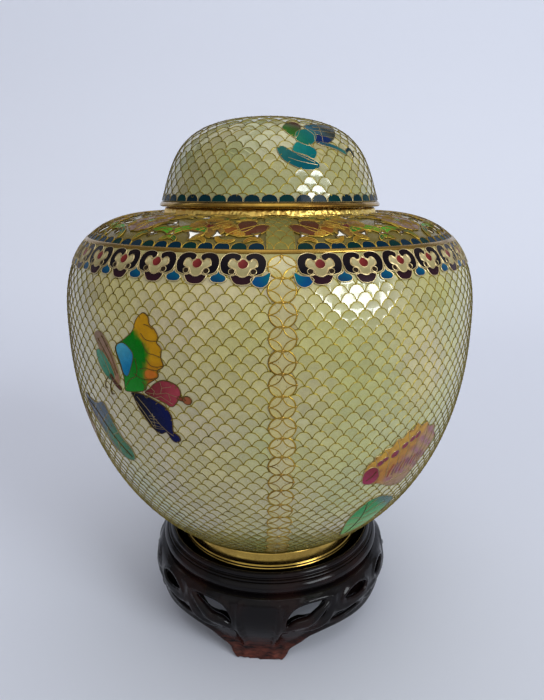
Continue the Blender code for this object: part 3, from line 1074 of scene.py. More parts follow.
def stroke(line, width, ends=3):
    """Outline of a band of one width along a line, with round ends."""
    left = []
    right = []
    for index, (u, v) in enumerate(line):
        before = Vector(line[max(index - 1, 0)])
        after = Vector(line[min(index + 1, len(line) - 1)])
        along = (after - before).normalized() * 0.5 * width
        left.append((u - along.y, v + along.x))
        right.append((u + along.y, v - along.x))
    tips = []
    for centre, near in ((line[-1], line[-2]), (line[0], line[1])):
        along = (Vector(centre) - Vector(near)).normalized() * 0.5 * width
        tip = []
        for step in range(1, ends + 1):
            turn = math.radians(90 - 180 * step / (ends + 1))
            tip.append((centre[0] + along.x * math.cos(turn) - along.y * math.sin(turn),
                        centre[1] + along.y * math.cos(turn) + along.x * math.sin(turn)))
        tips.append(tip)
    return left + tips[0] + right[::-1] + tips[1]


def body_butterfly(picture):
    """Butterfly seen from the side: a tall lobed forewing, a rose wing, a navy tail wing and a far wing."""
    far = rounded(((-16, 2), (-13.3, 3), (-11, 1.3), (-8.9, -1.8), (-7.1, -7.4), (-9.2, -8.8), (-11.5, -4.7),
                   (-14.6, -0.5)), 3)
    far_tail = rounded(((-15.6, -2), (-13.1, -1.6), (-10, -4.4), (-8.9, -7.4), (-11.2, -8), (-14.4, -5.4)), 3)
    fore = rounded(((0.6, 8.8), (-1.2, 7.1), (-2.1, 4.7), (-4.2, 2.9), (-5.5, 2), (-7.9, 0.2), (-6.6, -3.8),
                    (-5.7, -6.3), (-5.7, -8.7), (-5.1, -9.7), (-0.1, -8.7), (1.4, -6.8), (4.2, -4.8),
                    (4.1, -3.4), (5.7, -2.3), (5.2, -0.3), (5.4, 1.6), (4.3, 2.8), (4.7, 4.1), (3.7, 5.7),
                    (2.5, 6.5), (2.1, 8.1)), 3)
    rose = rounded(((0.3, -9), (1.8, -7.8), (3.1, -6.5), (5.5, -5.4), (8.5, -6), (9.6, -7.8), (8.3, -10.3),
                    (7, -11.3), (5.4, -10.6), (2.8, -9.8)), 3)
    tail = rounded(((-3.7, -9.7), (-0.4, -9.6), (2.5, -10.3), (5.3, -11.6), (6.6, -13.3), (6.8, -15.5),
                    (6.6, -17.4), (7.9, -18.4), (8.1, -19.5), (7, -20.2), (5.9, -19.6), (4.9, -17.9),
                    (3.4, -18.6), (1.7, -17.9), (0.5, -16.7), (-1.9, -13.5), (-3.2, -10.7)), 3)
    inner = rounded(((-7.6, 0.2), (-5.2, 1.6), (-2.9, 0.3), (-2.3, -1), (-2.9, -3), (-4.3, -5.8),
                     (-5.6, -5.6), (-6.3, -3.6)), 3)
    lobe = rounded(((1.2, -3.7), (3, -3.6), (4, -4.3), (3, -5.1), (1.4, -5.4), (0.8, -4.6)), 2)
    knob = oval(11.0, -9.3, 1.05, 0.95)
    trunk = stroke(curve(((-10.2, -7), (-9, -8.4), (-7.4, -9.5)), 3), 0.9)
    for outline in (fore, rose, tail, knob, trunk):
        picture.cover(outline)

    def wing(u, v):
        """Green on the left of the forewing, amber towards its right edge and its tip."""
        green = tone(24, 130, 34).lerp(tone(0, 112, 14), clamp((v + 8) / 6))
        amber = tone(160, 88, 22).lerp(tone(186, 136, 20), clamp((v + 6) / 5))
        edge = 2.2 - u - 0.35 * abs(v) + 0.5 * noise(Vector((u, v, 2.0)) * 0.8)
        share = 0.5 + 0.9 * (edge if v > -6 else 1.2 - u)
        return amber.lerp(green, clamp(share - max(v - 1.6, 0.0) * 0.55))

    picture.cell(far, shaded(tone(142, 116, 96), tone(156, 116, 92), (-15, 2), (-8, -7)), pale=True)
    picture.veins((((-14.4, 1.2), (-10.8, -2.7), (-8.4, -6.6)), ((-12.6, 2), (-9.6, -2), (-7.8, -6))), 1)
    picture.cell(far_tail, shaded(tone(84, 146, 120), tone(50, 120, 92), (-14, -3), (-10, -7)), 2, pale=True)
    picture.cell(tail, shaded(tone(2, 4, 14), tone(6, 16, 72), (-1, -15), (5.5, -13)), 2)
    picture.veins((((-2.2, -10.4), (0.2, -12.6), (2.6, -15.4), (5, -17.6), (6.6, -18.6)),
                   ((-2.6, -11.6), (-0.6, -14), (1, -16.2), (2, -17.4), (4.6, -17.2))), pale=True)
    picture.veins((((0.6, -14.6), (2.4, -14.4)), ((1, -16), (3.4, -16)), ((1.7, -13.8), (2, -17.2)),
                   ((0.8, -15.2), (2.8, -15.2)), ((1.4, -16.8), (4, -16.9))), 1, pale=True)
    picture.cell(rose, shaded(tone(100, 28, 30), tone(158, 62, 74), (1, -8), (9, -8)), 3)
    picture.veins((((0.8, -8.9), (3.6, -8.8), (6, -8.2), (8.6, -8.8)), ((3, -9.8), (4.6, -9.2), (7.4, -10.6)),
                   ((2.2, -7.6), (3, -8.2), (2.6, -9.2)), ((4.6, -5.8), (5, -7.2), (7.4, -6.6)),
                   ((5, -7.2), (4.6, -8.4)), ((6.6, -8.4), (7, -9.8))), 1, pale=True)
    picture.cell(knob, tone(146, 82, 54), 4)
    picture.cell(stroke(((9.0, -9.0), (10.2, -9.2)), 0.9, 1), tone(122, 60, 40), 2)
    picture.cell(fore, wing, 3)
    picture.cell(inner, shaded(tone(72, 160, 186), tone(8, 118, 164), (-6, 1), (-3.4, -3)), 5)
    picture.veins((((1, 6.4), (2.2, 6.2), (3.4, 5.6)), ((0.2, 4.4), (1.4, 3.2), (3, 3), (4.6, 3.2)),
                   ((0.6, 2.4), (1.8, 0.4), (3.4, 0.1), (5.2, -0.3)),
                   ((1.2, -1), (2.4, -2.4), (4, -2.6), (5.6, -2.2)),
                   ((-0.6, -3.8), (1, -3.2), (2.4, -3.4), (4, -3.4)),
                   ((-2.4, -5), (-0.4, -5.8), (1.8, -5.8), (4, -5)),
                   ((-5, -8.2), (-3.8, -6.6), (-2, -5.6), (-1.4, -4), (-1.8, -1.4)),
                   ((-0.2, -6.4), (0.4, -7.2), (0.2, -8.4))))
    picture.fill(lobe, tone(190, 106, 34), 6)
    picture.cell(trunk, tone(84, 40, 30), 7)
    picture.veins((((-10.4, -7), (-12.2, -8.2), (-13.2, -10), (-12.4, -10.6)),
                   ((-9.8, -7.6), (-11, -9.6), (-10.8, -11.6), (-10, -11.4))), 4)


def low_leaf(picture):
    """Broad leaf shading from blue through green to purple, with a mid rib."""
    leaf = rounded(((-3.5, 5.8), (1.2, 7.2), (3.3, 3.5), (5.7, -0.8), (8.4, -3.4), (8.6, -6.3), (6.7, -7.6),
                    (3.4, -7.3), (0, -5.1), (-2.9, -1.4), (-6.1, 1.3), (-9.9, 6.6)), 3)

    def colour(u, v):
        """Blue at the top, green to the lower right and dull purple to the lower left."""
        cool = tone(84, 98, 112).lerp(tone(62, 120, 88), clamp((u - v + 3) / 7))
        return cool.lerp(tone(124, 104, 116), clamp(-0.5 * (u + v) - 1.6))

    picture.cell(leaf, colour, pale=True)
    picture.veins((((-8, 5.6), (-2.5, 2.8), (2, -1.5), (7.6, -6.2)),), 4)
    picture.veins((((-4.5, 3.8), (-2.8, 5.8)), ((-1, 1.5), (2, 4.4)), ((2, -1.5), (5, 0.2)),
                   ((-3, 2.9), (-4.2, 0.4)), ((0.2, 0.3), (-0.6, -3)), ((3.4, -2.6), (3, -6.4))),
                  1, pale=True)


def lotus(picture):
    """Open lotus seen from the side, with a magenta tip, a row of seeds and a pale skirt."""
    outer = rounded(((-11.6, -5.2), (-12.3, -1.6), (-11.6, 0.8), (-10.6, 1.2), (-10.2, 2.4), (-8.6, 2.6),
                     (-7.8, 4), (-6, 4), (-4.6, 6), (-2.8, 5.8), (-1.4, 7.6), (0.2, 7.2), (1.2, 9),
                     (3.2, 7.6), (5.4, 8.2), (7.2, 6.2), (9.8, 6), (10.6, 3.2), (12.4, 2), (10.6, -0.4),
                     (8.4, -3.4), (5.8, -6.6), (2.9, -10), (-0.6, -9.8), (-4.1, -8.2), (-6.8, -6.7),
                     (-9.4, -6.2)), 2)
    tip = rounded(((-11.6, -5.1), (-12.2, -2), (-10.4, -0.6), (-8.2, -1.6), (-7.2, -4), (-8, -5.8),
                   (-9.6, -6.1)), 3)
    skirt = rounded(((2.9, -9.8), (5, -6.8), (2.2, -6.2), (-2, -7), (-4.2, -8), (-0.6, -9.6)), 3)
    picture.cover(outer)

    def colour(u, v):
        """Amber, banded with dull purple to the lower right and mottled with brown."""
        amber = tone(164, 112, 50).lerp(tone(186, 144, 58), clamp((v - 0.5 * u) / 6))
        dull = tone(140, 94, 112).lerp(tone(164, 132, 84), 0.5 + 0.5 * math.sin(1.6 * v + 1.1 * u))
        share = 0.5 + 0.30 * (u - 2.5) - 0.28 * (v - 2.0) + 0.4 * noise(Vector((u, v, 5.0)) * 0.5)
        mottle = min(clamp(1.2 * noise(Vector((u, v, 1.0)) * 0.9)), 0.55)
        return amber.lerp(dull, clamp(share)).lerp(tone(120, 64, 56), mottle)

    picture.cell(outer, colour, pale=True)
    picture.cell(tip, shaded(tone(142, 46, 76), tone(116, 40, 46), (-11, -5), (-9, -1)), 2, pale=True)
    picture.veins((((-10.8, -4.6), (-9.4, -3.6), (-8.6, -2.2)),))
    picture.veins((((-10.2, 2), (-8.8, -0.4), (-7.4, -3.6)), ((-7.6, 3.6), (-5.6, 0.6), (-5, -5.2)),
                   ((-4.4, 5.6), (-2.6, 1.6), (-2.4, -5.6)), ((-1.2, 7.2), (0.2, 2.4), (-0.4, -6)),
                   ((2, 8), (3.2, 3), (1.6, -6)), ((6, 7), (6.4, 2), (3.6, -6)),
                   ((9.6, 5.6), (8.8, 1), (5.4, -5.4))), 4, pale=True)
    for u, v, size, turn in ((-8.2, 0.1, 1.0, 30), (-6.9, 0.9, 0.8, 20), (-4.2, 1.7, 1.15, 30),
                             (-1.4, 3.4, 1.0, 30), (0.8, 4.6, 0.9, 40), (2.6, 5.2, 1.0, 50)):
        seed = shaded(tone(134, 44, 50), tone(112, 56, 80), (u - 1, v), (u + 1, v))
        picture.cell(oval(u, v, 1.15 * size, 0.8 * size, turn, 8), seed, 5, pale=True)
    for number in range(9):
        u = -4.2 + 1.25 * number
        line = ((u, -5.4 + 0.26 * number), (u + 0.2, -3.6 + 0.2 * number), (u + 0.9, -1.8 + 0.1 * number))
        picture.fill(stroke(line, 0.42, 1), tone(118, 70, 84) if number % 3 else tone(140, 56, 46), 5)
    picture.cell(skirt, shaded(tone(140, 110, 92), tone(150, 116, 80), (0, -10), (0, -6)), 4, pale=True)


def side_leaf(picture):
    """Green leaf below the lotus, with a rib and side veins."""
    leaf = rounded(((-4.2, -9.2), (-5.4, -4.5), (-6, -0.6), (-5.4, 3), (-3.9, 5.4), (-2.2, 7.1), (2.3, 7),
                    (7.8, 3.5), (7.6, 0.7), (5.4, -2.7), (3.4, -6.9), (-0.2, -9.3), (-2.5, -9.9)), 3)
    picture.cover(leaf)

    def colour(u, v):
        """Pale at the low tip, then green, and dark at the fold above."""
        green = tone(120, 172, 104).lerp(tone(40, 132, 70), clamp((v + 7) / 9))
        return green.lerp(tone(66, 96, 88), clamp(0.4 * (v - 4.0) + 0.35 * (u - 1.0)))

    picture.cell(leaf, colour, pale=True)
    picture.veins((((-2.6, -9.2), (-2, -4), (-1.8, 1), (-2.6, 6)),), 4)
    for root, tip in (((-1.8, -5), (2.6, -5.4)), ((-1.8, -2.4), (4.4, -1)), ((-1.9, 0.6), (4.6, 3.4)),
                      ((-1.9, -1), (-5.4, 0.4)), ((-2.1, 2.9), (0.4, 6.6)), ((-1.9, -4.2), (-5, -3.4))):
        middle = ((root[0] + tip[0]) / 2, (root[1] + tip[1]) / 2 + 0.5)
        picture.veins(((root, middle, tip),), pale=True)


LEFT_GROUP = ((body_butterfly, -28.7, 75.8), (low_leaf, -45.6, 53.6))
RIGHT_GROUP = ((lotus, 36.9, 48.1), (side_leaf, 32.2, 28.1))
pictures = []
for panel, shift in enumerate(PANEL_SHIFTS):
    for draw, angle, rise in RIGHT_GROUP if panel % 2 else LEFT_GROUP + RIGHT_GROUP:
        picture = Picture(body, angle + 90.0 * panel + shift, rise * MM)
        draw(picture)
        pictures.append(picture)


def turned_covers(polygons):
    """Covers with their angle ranges, repeated a turn to each side."""
    covers = []
    for polygon in polygons:
        for turn in (-360.0, 0.0, 360.0):
            moved = [(angle + turn, rise) for angle, rise in polygon]
            covers.append((min(p[0] for p in moved), max(p[0] for p in moved), moved))
    return covers


def kept_runs(line, covers, angle, margin):
    """The parts of a line outside the covers near an angle, each with its end points just inside."""
    close = [cover for cover in covers if cover[0] - margin < angle < cover[1] + margin]
    outside = [not any(low <= place[0] <= high and inside(polygon, place) for low, high, polygon in close)
               for place in line]
    runs = []
    run = []
    for index, place in enumerate(line):
        if any(outside[max(index - 1, 0):index + 2]):
            run.append(place)
        elif run:
            runs.append(run)
            run = []
    runs.append(run)
    return [run for run in runs if len(run) > 1]


def laid(net, covers, banned=None):
    """The cells of a net, and the runs of its wires outside the covers."""
    places = []
    runs = []
    for row, count in enumerate(net.counts):
        for place in range(count):
            arch = net.arch(row, place, ARCH_STEPS)
            top = arch[ARCH_STEPS // 2]
            if banned and banned(*top):
                continue
            places.append((row, place))
            runs += kept_runs(arch, covers, top[0], NET_MARGIN)
    return places, runs


def halves(items):
    """The two halves of a list, with their names."""
    half = len(items) // 2
    return ("low", items[:half]), ("high", items[half:])


def covers_of(pictures):
    """All covers of some pictures."""
    return turned_covers([polygon for picture in pictures for polygon in picture.covers])


def runs_of(pictures):
    """All brown wires of some pictures."""
    return [run for picture in pictures for run in picture.wires]


def on_jar(name, bm, *materials):
    """A piece of enamel or wire on the jar's wall."""
    return dressed(name, bm, "jar_shell", "wire_enamel", *materials)


net_rows = int((NET_TOP - NET_START) / NET_STEP) + 1
body_net = Net(body, NET_START, NET_STEP, [NET_COUNT] * net_rows, 5)
net_places, net_runs = laid(body_net, covers_of(pictures), lambda *place: from_band(*place) < BAND_COVER)
enamel = clear_enamel("clear_enamel", shine=0.06)
net_enamel = clear_enamel("net_enamel", shine=1.0)
wire_gilt = gilding("wire_gilt", (0.27, 0.195, 0.022), (0.11, 0.075, 0.01), 0.32, 0.44, 160.0)
bold_gilt = gilding("bold_gilt", (0.46, 0.30, 0.045), (0.20, 0.115, 0.02), 0.32, 0.44, 160.0)
dark_gilt = gilding("dark_gilt", (0.15, 0.095, 0.03), (0.055, 0.03, 0.012), 0.28, 0.44, 160.0)
pale_gilt = gilding("pale_gilt", (0.70, 0.56, 0.29), (0.42, 0.31, 0.14), 0.34, 0.50, 160.0)
faint_gilt = gilding("faint_gilt", (0.44, 0.34, 0.17), (0.24, 0.17, 0.08), 0.30, 0.46, 160.0)

for side, cells in halves(net_places):
    on_jar("net_enamel_" + side, net_cells(body_net, cells, net_shade), net_enamel)
for side, runs in halves(net_runs):
    on_jar("net_wire_" + side, wire_bmesh(body, runs, WIRE_WIDTH, WIRE_HEIGHT, flare=1.8), wire_gilt)
wire_lift = PICTURE_LIFT + 0.03 * MM
pale_runs = [run for picture in pictures for run in picture.pale_wires]
on_jar("pictures_enamel", enamel_bmesh(pictures, grid=0.9 * MM), enamel)
on_jar("pictures_wire", wire_bmesh(body, runs_of(pictures), 0.25 * MM, 0.12 * MM, wire_lift), dark_gilt)
on_jar("pictures_pale_wire", wire_bmesh(body, pale_runs, 0.17 * MM, 0.08 * MM, wire_lift), faint_gilt)

# Coin bands: four upright chains of rings part the belly, each ring with four bows of thicker wire that
# leave a pale star between them, and with blobs of solder where the rings meet.
COIN_PITCH = 4.9 * MM
COIN_DROP = 0.7 * MM
COIN_WIDE = 2.85
COIN_TALL = 2.66
COIN_LIGHT = 0.86
STAR_LIGHT = 0.80
SOLDER_BETWEEN = 0.5
SOLDER_BESIDE = 0.36
coin_count = int((RING_RISE - 0.6 * MM) / COIN_PITCH)
coins = []
solder = []
coin_chance = random.Random(23)
for angle in band_angles():
    for number in range(coin_count):
        rise = RING_RISE - COIN_DROP - (number + 0.5) * COIN_PITCH
        coin = Picture(body, angle + coin_chance.uniform(-0.12, 0.12), rise)
        wide = COIN_WIDE + coin_chance.uniform(-0.08, 0.08)
        light = coin_chance.uniform(0.9, 1.05)
        warm = CREAM.lerp(CREAM_EDGE, 0.4) * light * COIN_LIGHT
        cool = CREAM * light * COIN_LIGHT
        coin.cell(oval(0, 0, wide, COIN_TALL, count=24), shaded(warm, cool, (-1, -2), (1, 2)),
                  2 + 1.5 * (number % 2))
        star = []
        for quarter in range(4):
            across = 1 if quarter in (0, 1) else -1
            up = 1 if quarter in (0, 3) else -1
            bow = [(across * wide * (1 - math.cos(math.radians(15 * step))),
                    up * COIN_TALL * (1 - math.sin(math.radians(15 * step)))) for step in range(7)]
            coin.line(bow)
            star += bow[:-1] if quarter in (0, 2) else bow[:0:-1]
        coin.fill(star, CREAM * light * STAR_LIGHT, 5)
        coins.append(coin)
        solder.append((angle, rise + 0.5 * COIN_PITCH, SOLDER_BETWEEN))
        beside = math.degrees(wide * MM / body.radius(rise))
        for side in (-1, 1):
            solder.append((angle + side * beside, rise, SOLDER_BESIDE))
on_jar("coins_enamel", enamel_bmesh(coins), net_enamel)
on_jar("coins_wire", wire_bmesh(body, runs_of(coins), 0.42 * MM, 0.17 * MM, 0.08 * MM), bold_gilt)


def solder_bmesh(wall, blobs):
    """Low round blobs of gilt solder on a wall, each an angle, a rise and a radius in millimetres."""
    bm = bmesh.new()
    for angle, rise, size in blobs:
        out = wall.outward(angle, rise)
        centre = wall.at(angle, rise, 0.1 * MM)
        for vert in bmesh.ops.create_icosphere(bm, subdivisions=1, radius=size * MM)["verts"]:
            vert.co -= out * (0.62 * vert.co.dot(out))
            vert.co += centre
    return bm


solder_gilt = gilding("solder_gilt", (0.60, 0.38, 0.09), (0.34, 0.18, 0.04), 0.24, 0.40, 200.0)
on_jar("coins_solder", solder_bmesh(body, solder), solder_gilt)

# Cloud-head border: under the shoulder ring each panel carries eight heads, each a pair of black scrolls
# round a cream blossom with a red heart, and blue drops hang between them on a strip of pale enamel.
HEAD_COUNT = 8
HEAD_PITCH = 10.43
STRIP_DROP = 4.0 * MM
STRIP_ROWS = 4
STRIP_LIFT = 0.05 * MM
BORDER_LIFT = 0.16 * MM
END_REACH = 4.2 * MM


def strip_bmesh(wall, low, high, colour):
    """A plain strip of enamel right round a wall. Its colour is a function of the angle."""
    rises = [low + (high - low) * row / STRIP_ROWS for row in range(STRIP_ROWS + 1)]
    bm = spun([wall.at(90.0, rise, STRIP_LIFT).xz for rise in rises], WALL_STEPS, closed=False)
    tint = bm.verts.layers.float_color.new("tint")
    for vert in bm.verts:
        vert[tint] = (*colour(math.degrees(math.atan2(vert.co.x, -vert.co.y))), 1.0)
    inner = Vector((0, 0, 0.05))
    wrong = [face for face in bm.faces if face.normal.dot(face.calc_center_median() - inner) < 0]
    bmesh.ops.reverse_faces(bm, faces=wrong)
    return bm


def strip_shade(angle):
    """Cream that turns greener and back round the jar."""
    return 0.72 * CREAM.lerp(tone(196, 190, 128), 0.5 + 0.5 * wave(6 * angle, 0.0))


def sided(points, side):
    """Points of a right side, or mirrored to the left."""
    return [(side * u, v) for u, v in points]


def mirrored(half):
    """Whole outline from the points of its right half, from top to bottom."""
    return list(half) + [(-u, v) for u, v in reversed(half) if u]


def cloud_head(picture):
    """One head of the border. Its middle is on the ring's lower edge."""
    scroll = ((0.5, -0.7), (1.5, -0.15), (2.8, -0.1), (4, -0.7), (4.7, -2.1), (4.6, -3.6), (4.1, -4.6),
              (3.1, -5), (2, -5.2), (1.3, -4.7), (1.6, -3.8), (2.4, -3.5), (3, -3), (2.9, -2.2), (2.5, -1.6),
              (1.9, -1.5), (1.3, -2), (0.6, -1.6))
    blossom = mirrored(((0, -1.2), (0.6, -1.9), (1.3, -2.3), (1.9, -1.7), (2.6, -1.9), (2.8, -2.8),
                        (2.3, -3.4), (1.5, -3.7), (1.1, -4.8), (0.5, -5.4)))
    cup = mirrored(((0, -5.4), (1.3, -5), (2.4, -5.1), (2.1, -6.1), (1.1, -7)))
    black = shaded(tone(24, 12, 16), tone(14, 10, 18), (0, 0), (0, -4))
    red = shaded(tone(136, 50, 46), tone(92, 24, 26), (-1, -2), (1, -3))
    for side in (-1, 1):
        picture.cell(rounded(sided(scroll, side), 3), black, 5)
        picture.cell(oval(side * 2.2, -4.3, 0.66, 0.62), tone(46, 34, 22), 9)
    picture.cell(rounded(cup, 2), shaded(tone(22, 10, 14), tone(46, 20, 30), (0, -4.5), (0, -6.4)), 4)
    picture.cell(rounded(blossom, 2), shaded(tone(184, 172, 128), tone(158, 146, 102), (0, -2), (0, -4.5)), 6)
    picture.cell(oval(0, -2.65, 1.12, 1.12), red, 9)


def blue_drop(picture):
    """Blue lobe that hangs between two heads."""
    lobe = mirrored(((0, -3.9), (0.3, -4.7), (1.3, -5.2), (1.7, -5.9), (1, -6.6)))
    picture.cell(rounded(lobe, 3), shaded(tone(0, 90, 120), tone(4, 58, 94), (0.6, -4.4), (-0.4, -6.4)), 3)


def end_drop(picture, side):
    """Pear-shaped lobe beside a band, pointing to it."""
    pear = sided(((1.2, -4.3), (1.1, -5.6), (0.6, -6.9), (-0.6, -7.6), (-2, -7.2), (-2.8, -6), (-1.8, -5.3),
                  (-0.2, -5.1)), side)
    blue = shaded(tone(0, 72, 120), tone(0, 116, 116), (-side, -6.2), (2 * side, -4.2))
    picture.cell(rounded(pear, 3), blue, 3)


def hung(angle, draw, *more):
    """A picture drawn under the ring at an angle."""
    picture = Picture(body, angle, RING_RISE, lift=BORDER_LIFT)
    draw(picture, *more)
    return picture


border = []
for panel in range(PANEL_COUNT):
    reach = 0.5 * (HEAD_COUNT - 1) * HEAD_PITCH
    for number in range(HEAD_COUNT):
        angle = panel_middle(panel) - reach + number * HEAD_PITCH
        border.append(hung(angle, cloud_head))
        if number < HEAD_COUNT - 1:
            border.append(hung(angle + 0.5 * HEAD_PITCH, blue_drop))
    reach += math.degrees(END_REACH / body.radius(RING_RISE))
    for side in (-1, 1):
        border.append(hung(panel_middle(panel) + side * reach, end_drop, side))
on_jar("border_strip", strip_bmesh(body, RING_RISE - STRIP_DROP, RING_RISE + 0.3 * MM, strip_shade), enamel)
on_jar("border_enamel", enamel_bmesh(border), enamel)
on_jar("border_wire", wire_bmesh(body, runs_of(border), 0.20 * MM, 0.12 * MM, 0.22 * MM), pale_gilt)

# Shoulder ring: a half-round gilt wire soldered right round the jar between the belly and the openwork, its
# edges sunk a little in the enamel.
RING_WIDTH = 1.25 * MM
RING_ROUND = 0.45 * MM
RING_SUNK = 0.05 * MM
RING_ROOT = 0.4 * MM


def band_bmesh(wall, rise, width, height):
    """A half-round wire right round a wall."""
    section = []
    for step in range(9):
        turn = math.pi * step / 8
        r, z, out, up = wall.section(rise + 0.5 * width * math.cos(turn))
        lift = height * math.sin(turn) - RING_SUNK
        section.append((r + lift * out, z + lift * up))
    r, z, out, up = wall.section(rise)
    section.append((r - RING_ROOT * out, z - RING_ROOT * up))
    return spun(section, WALL_STEPS)


ring_gilt = gilding("ring_gilt", (0.36, 0.22, 0.045), (0.22, 0.12, 0.025), 0.24, 0.40, 120.0)
dressed("shoulder_ring", band_bmesh(body, RING_RISE + 0.45 * MM, RING_WIDTH, RING_ROUND), "jar_shell", "gilt",
        ring_gilt)

# Flower border: on the pierced shoulder a row of blue scallops stands on the ring, with flowers, curled
# leaves and tendrils above, mirrored in each panel, and a narrow olive lattice over each coin band.
SCALLOP_COUNT = 20
LATTICE_HALF = 3.1
LATTICE_STEP = 2.1
LATTICE_ROWS = 10
FACE_REACH = 2.2 * MM


def arched(wide, tall, steps, power=1.0, u=0.0, v=0.0):
    """Points of an arch over a place, from its right foot to its left."""
    turns = [math.pi * step / steps for step in range(steps + 1)]
    return [(u + wide * math.cos(turn), v + tall * max(math.sin(turn), 0.0) ** power) for turn in turns]


def scallop(picture, colour, wide, tall):
    """Half-oval scallop standing on a line."""
    arch = arched(wide, tall, 10, 0.8)
    picture.fill(arch, colour, 3)
    picture.line(arch)
    picture.cover(arch)


def open_flower(picture, petals, size, outer, inner, heart):
    """Flower seen from above, each petal shading from its root to its rim."""
    for number in range(petals):
        turn = math.radians(360.0 * number / petals + 90)
        cos = size * math.cos(turn)
        sin = size * math.sin(turn)
        petal = [(x * cos - y * sin, x * sin + y * cos)
                 for x, y in ((0.14, 0), (0.45, 0.36), (0.85, 0.42), (1.02, 0.16), (0.95, 0), (1.02, -0.16),
                              (0.85, -0.42), (0.45, -0.36))]
        colour = shaded(inner, outer, (0.3 * cos, 0.3 * sin), (cos, sin))
        picture.cell(rounded(petal, 2), colour, 2 * (1 + number % 2))
        picture.line([(x * cos, x * sin) for x in (0.3, 0.5, 0.68)])
    picture.cell(oval(0, 0, 0.24 * size, 0.24 * size), heart, 7)


def curled_leaf(picture, tip, root):
    """Crescent leaf with a rib, its tip curled over."""
    leaf = rounded(((-3.6, -0.7), (-2.6, 0.9), (-0.6, 1.9), (1.8, 1.7), (3.3, 0.4), (3.6, -1.2), (2.7, -1),
                    (1.4, 0), (-0.4, 0.3), (-2, -0.4)), 3)
    picture.cell(leaf, shaded(root, tip, (-3, 0), (3, 0)), 3)
    picture.veins((((-3.4, -0.6), (-1.4, 0.7), (1, 1), (3, -0.4)),))


def side_flower(picture):
    """Flower seen from the side: three rust petals on an amber heart."""
    for outline, low, high in (
            (((-0.4, -2.4), (1.4, -2.2), (3.4, -0.8), (3.9, 1.4), (2.4, 1.9), (0.9, 0.6), (-0.4, -0.8)),
             (98, 50, 24), (78, 42, 28)),
            (((-0.4, -2.4), (-0.6, -0.6), (-2.2, 0.9), (-3.7, 0.9), (-3.8, -0.8), (-2.4, -2.2)),
             (132, 78, 18), (100, 44, 18)),
            (((0, -1.4), (1.3, 0.3), (1.4, 2.4), (0, 3.4), (-1.5, 2.5), (-1.4, 0.2)),
             (90, 44, 24), (74, 36, 24))):
        picture.cell(rounded(outline, 3), shaded(tone(*low), tone(*high), (0, -2), (0, 2.5)), 3)
    picture.cell(oval(-0.2, -2, 1, 0.7), tone(170, 120, 40), 6)


TENDRILS = (
    ((-8, -8), (-4, -5.5), (-1, -8), (2, -6), (5, -8.5)),
    ((-9, 1), (-5, 3), (-2, 0.8), (2, 2.6), (6, 0.4), (8.5, 2.4)),
    ((-6, 5.5), (-2, 4.2), (1.5, 6), (5.5, 4.8), (8, 6)),
    ((-7, 7.2), (-3, 6.2), (0.5, 7.4), (4.5, 6.4), (7, 7.2)),
    ((9, -9), (11, -6.8), (12.5, -9)),
)
SHOULDER_LEAVES = (
    (11.2, 16.4, -10, 1.15, (92, 156, 34), (40, 112, 22)),
    (19.2, 15.6, 14, 1.3, (34, 112, 24), (84, 146, 36)),
    (15.2, 18.6, 4, 0.62, (20, 84, 34), (60, 110, 40)),
    (23.8, 18.7, -8, 0.60, (150, 112, 30), (90, 60, 16)),
    (31.0, 18.5, 170, 0.62, (168, 124, 34), (110, 64, 18)),
    (38.2, 18.8, 4, 0.58, (150, 112, 34), (96, 40, 20)),
    (7.6, 13.0, 50, 0.6, (40, 104, 50), (76, 120, 50)),
    (25.6, 8.2, -12, 0.72, (60, 88, 34), (104, 112, 44)),
    (35.0, 9.6, 12, 0.66, (150, 104, 30), (84, 52, 20)),
    (5.8, 17.6, 35, 0.8, (0, 74, 70), (24, 104, 60)),
    (29.6, 13.6, 20, 0.8, (92, 14, 14), (120, 50, 20)),
    (10.5, 8.2, 25, 0.8, (84, 104, 40), (112, 130, 60)),
    (30.5, 7.0, -25, 0.9, (92, 110, 50), (120, 120, 60)),
    (17.5, 5.4, 0, 0.75, (70, 92, 50), (110, 120, 60)),
    (38.6, 6.6, 60, 0.7, (100, 110, 50), (60, 84, 46)),
    (3.4, 3.8, 10, 0.6, (90, 104, 56), (60, 84, 46)),
)
shoulder = []


def grown(panel, side, offset, drop, turn=0.0, size=1.0):
    """A place for a flower or leaf beside a panel's middle, its drop in millimetres below the mouth."""
    picture = Picture(body, panel_middle(panel) + side * offset, body.span - drop * MM, turn, size, side)
    shoulder.append(picture)
    return picture


for panel in range(PANEL_COUNT):
    reach = PANEL_HALF - math.degrees((LATTICE_HALF + 0.2) * MM / body.radius(RING_RISE))
    wide = reach / SCALLOP_COUNT
    for number in range(SCALLOP_COUNT):
        angle = panel_middle(panel) + (2 * number - SCALLOP_COUNT + 1) * wide
        picture = Picture(body, angle, RING_RISE + 1.0 * MM)
        blue = tone(0, 36, 54) if number % 3 else tone(0, 42, 40)
        scallop(picture, blue, math.radians(wide) * body.radius(RING_RISE) / MM * 0.94, 1.9)
        shoulder.append(picture)
    open_flower(grown(panel, 1, 0.0, 11.0), 7, 5.6, tone(126, 98, 84), tone(96, 66, 58), tone(92, 124, 74))
    for side in (-1, 1):
        amber = grown(panel, side, 25.0, 13.2)
        open_flower(amber, 5, 4.9, tone(142, 106, 38), tone(94, 62, 22), tone(90, 26, 20))
        side_flower(grown(panel, side, 35.4, 14.0, -12, 1.32))
        for offset, drop, turn, size, tip, root in SHOULDER_LEAVES:
            curled_leaf(grown(panel, side, offset, drop, turn, size), tone(*tip), tone(*root))
        grown(panel, side, 20.0, 8.0).veins(TENDRILS, 4)

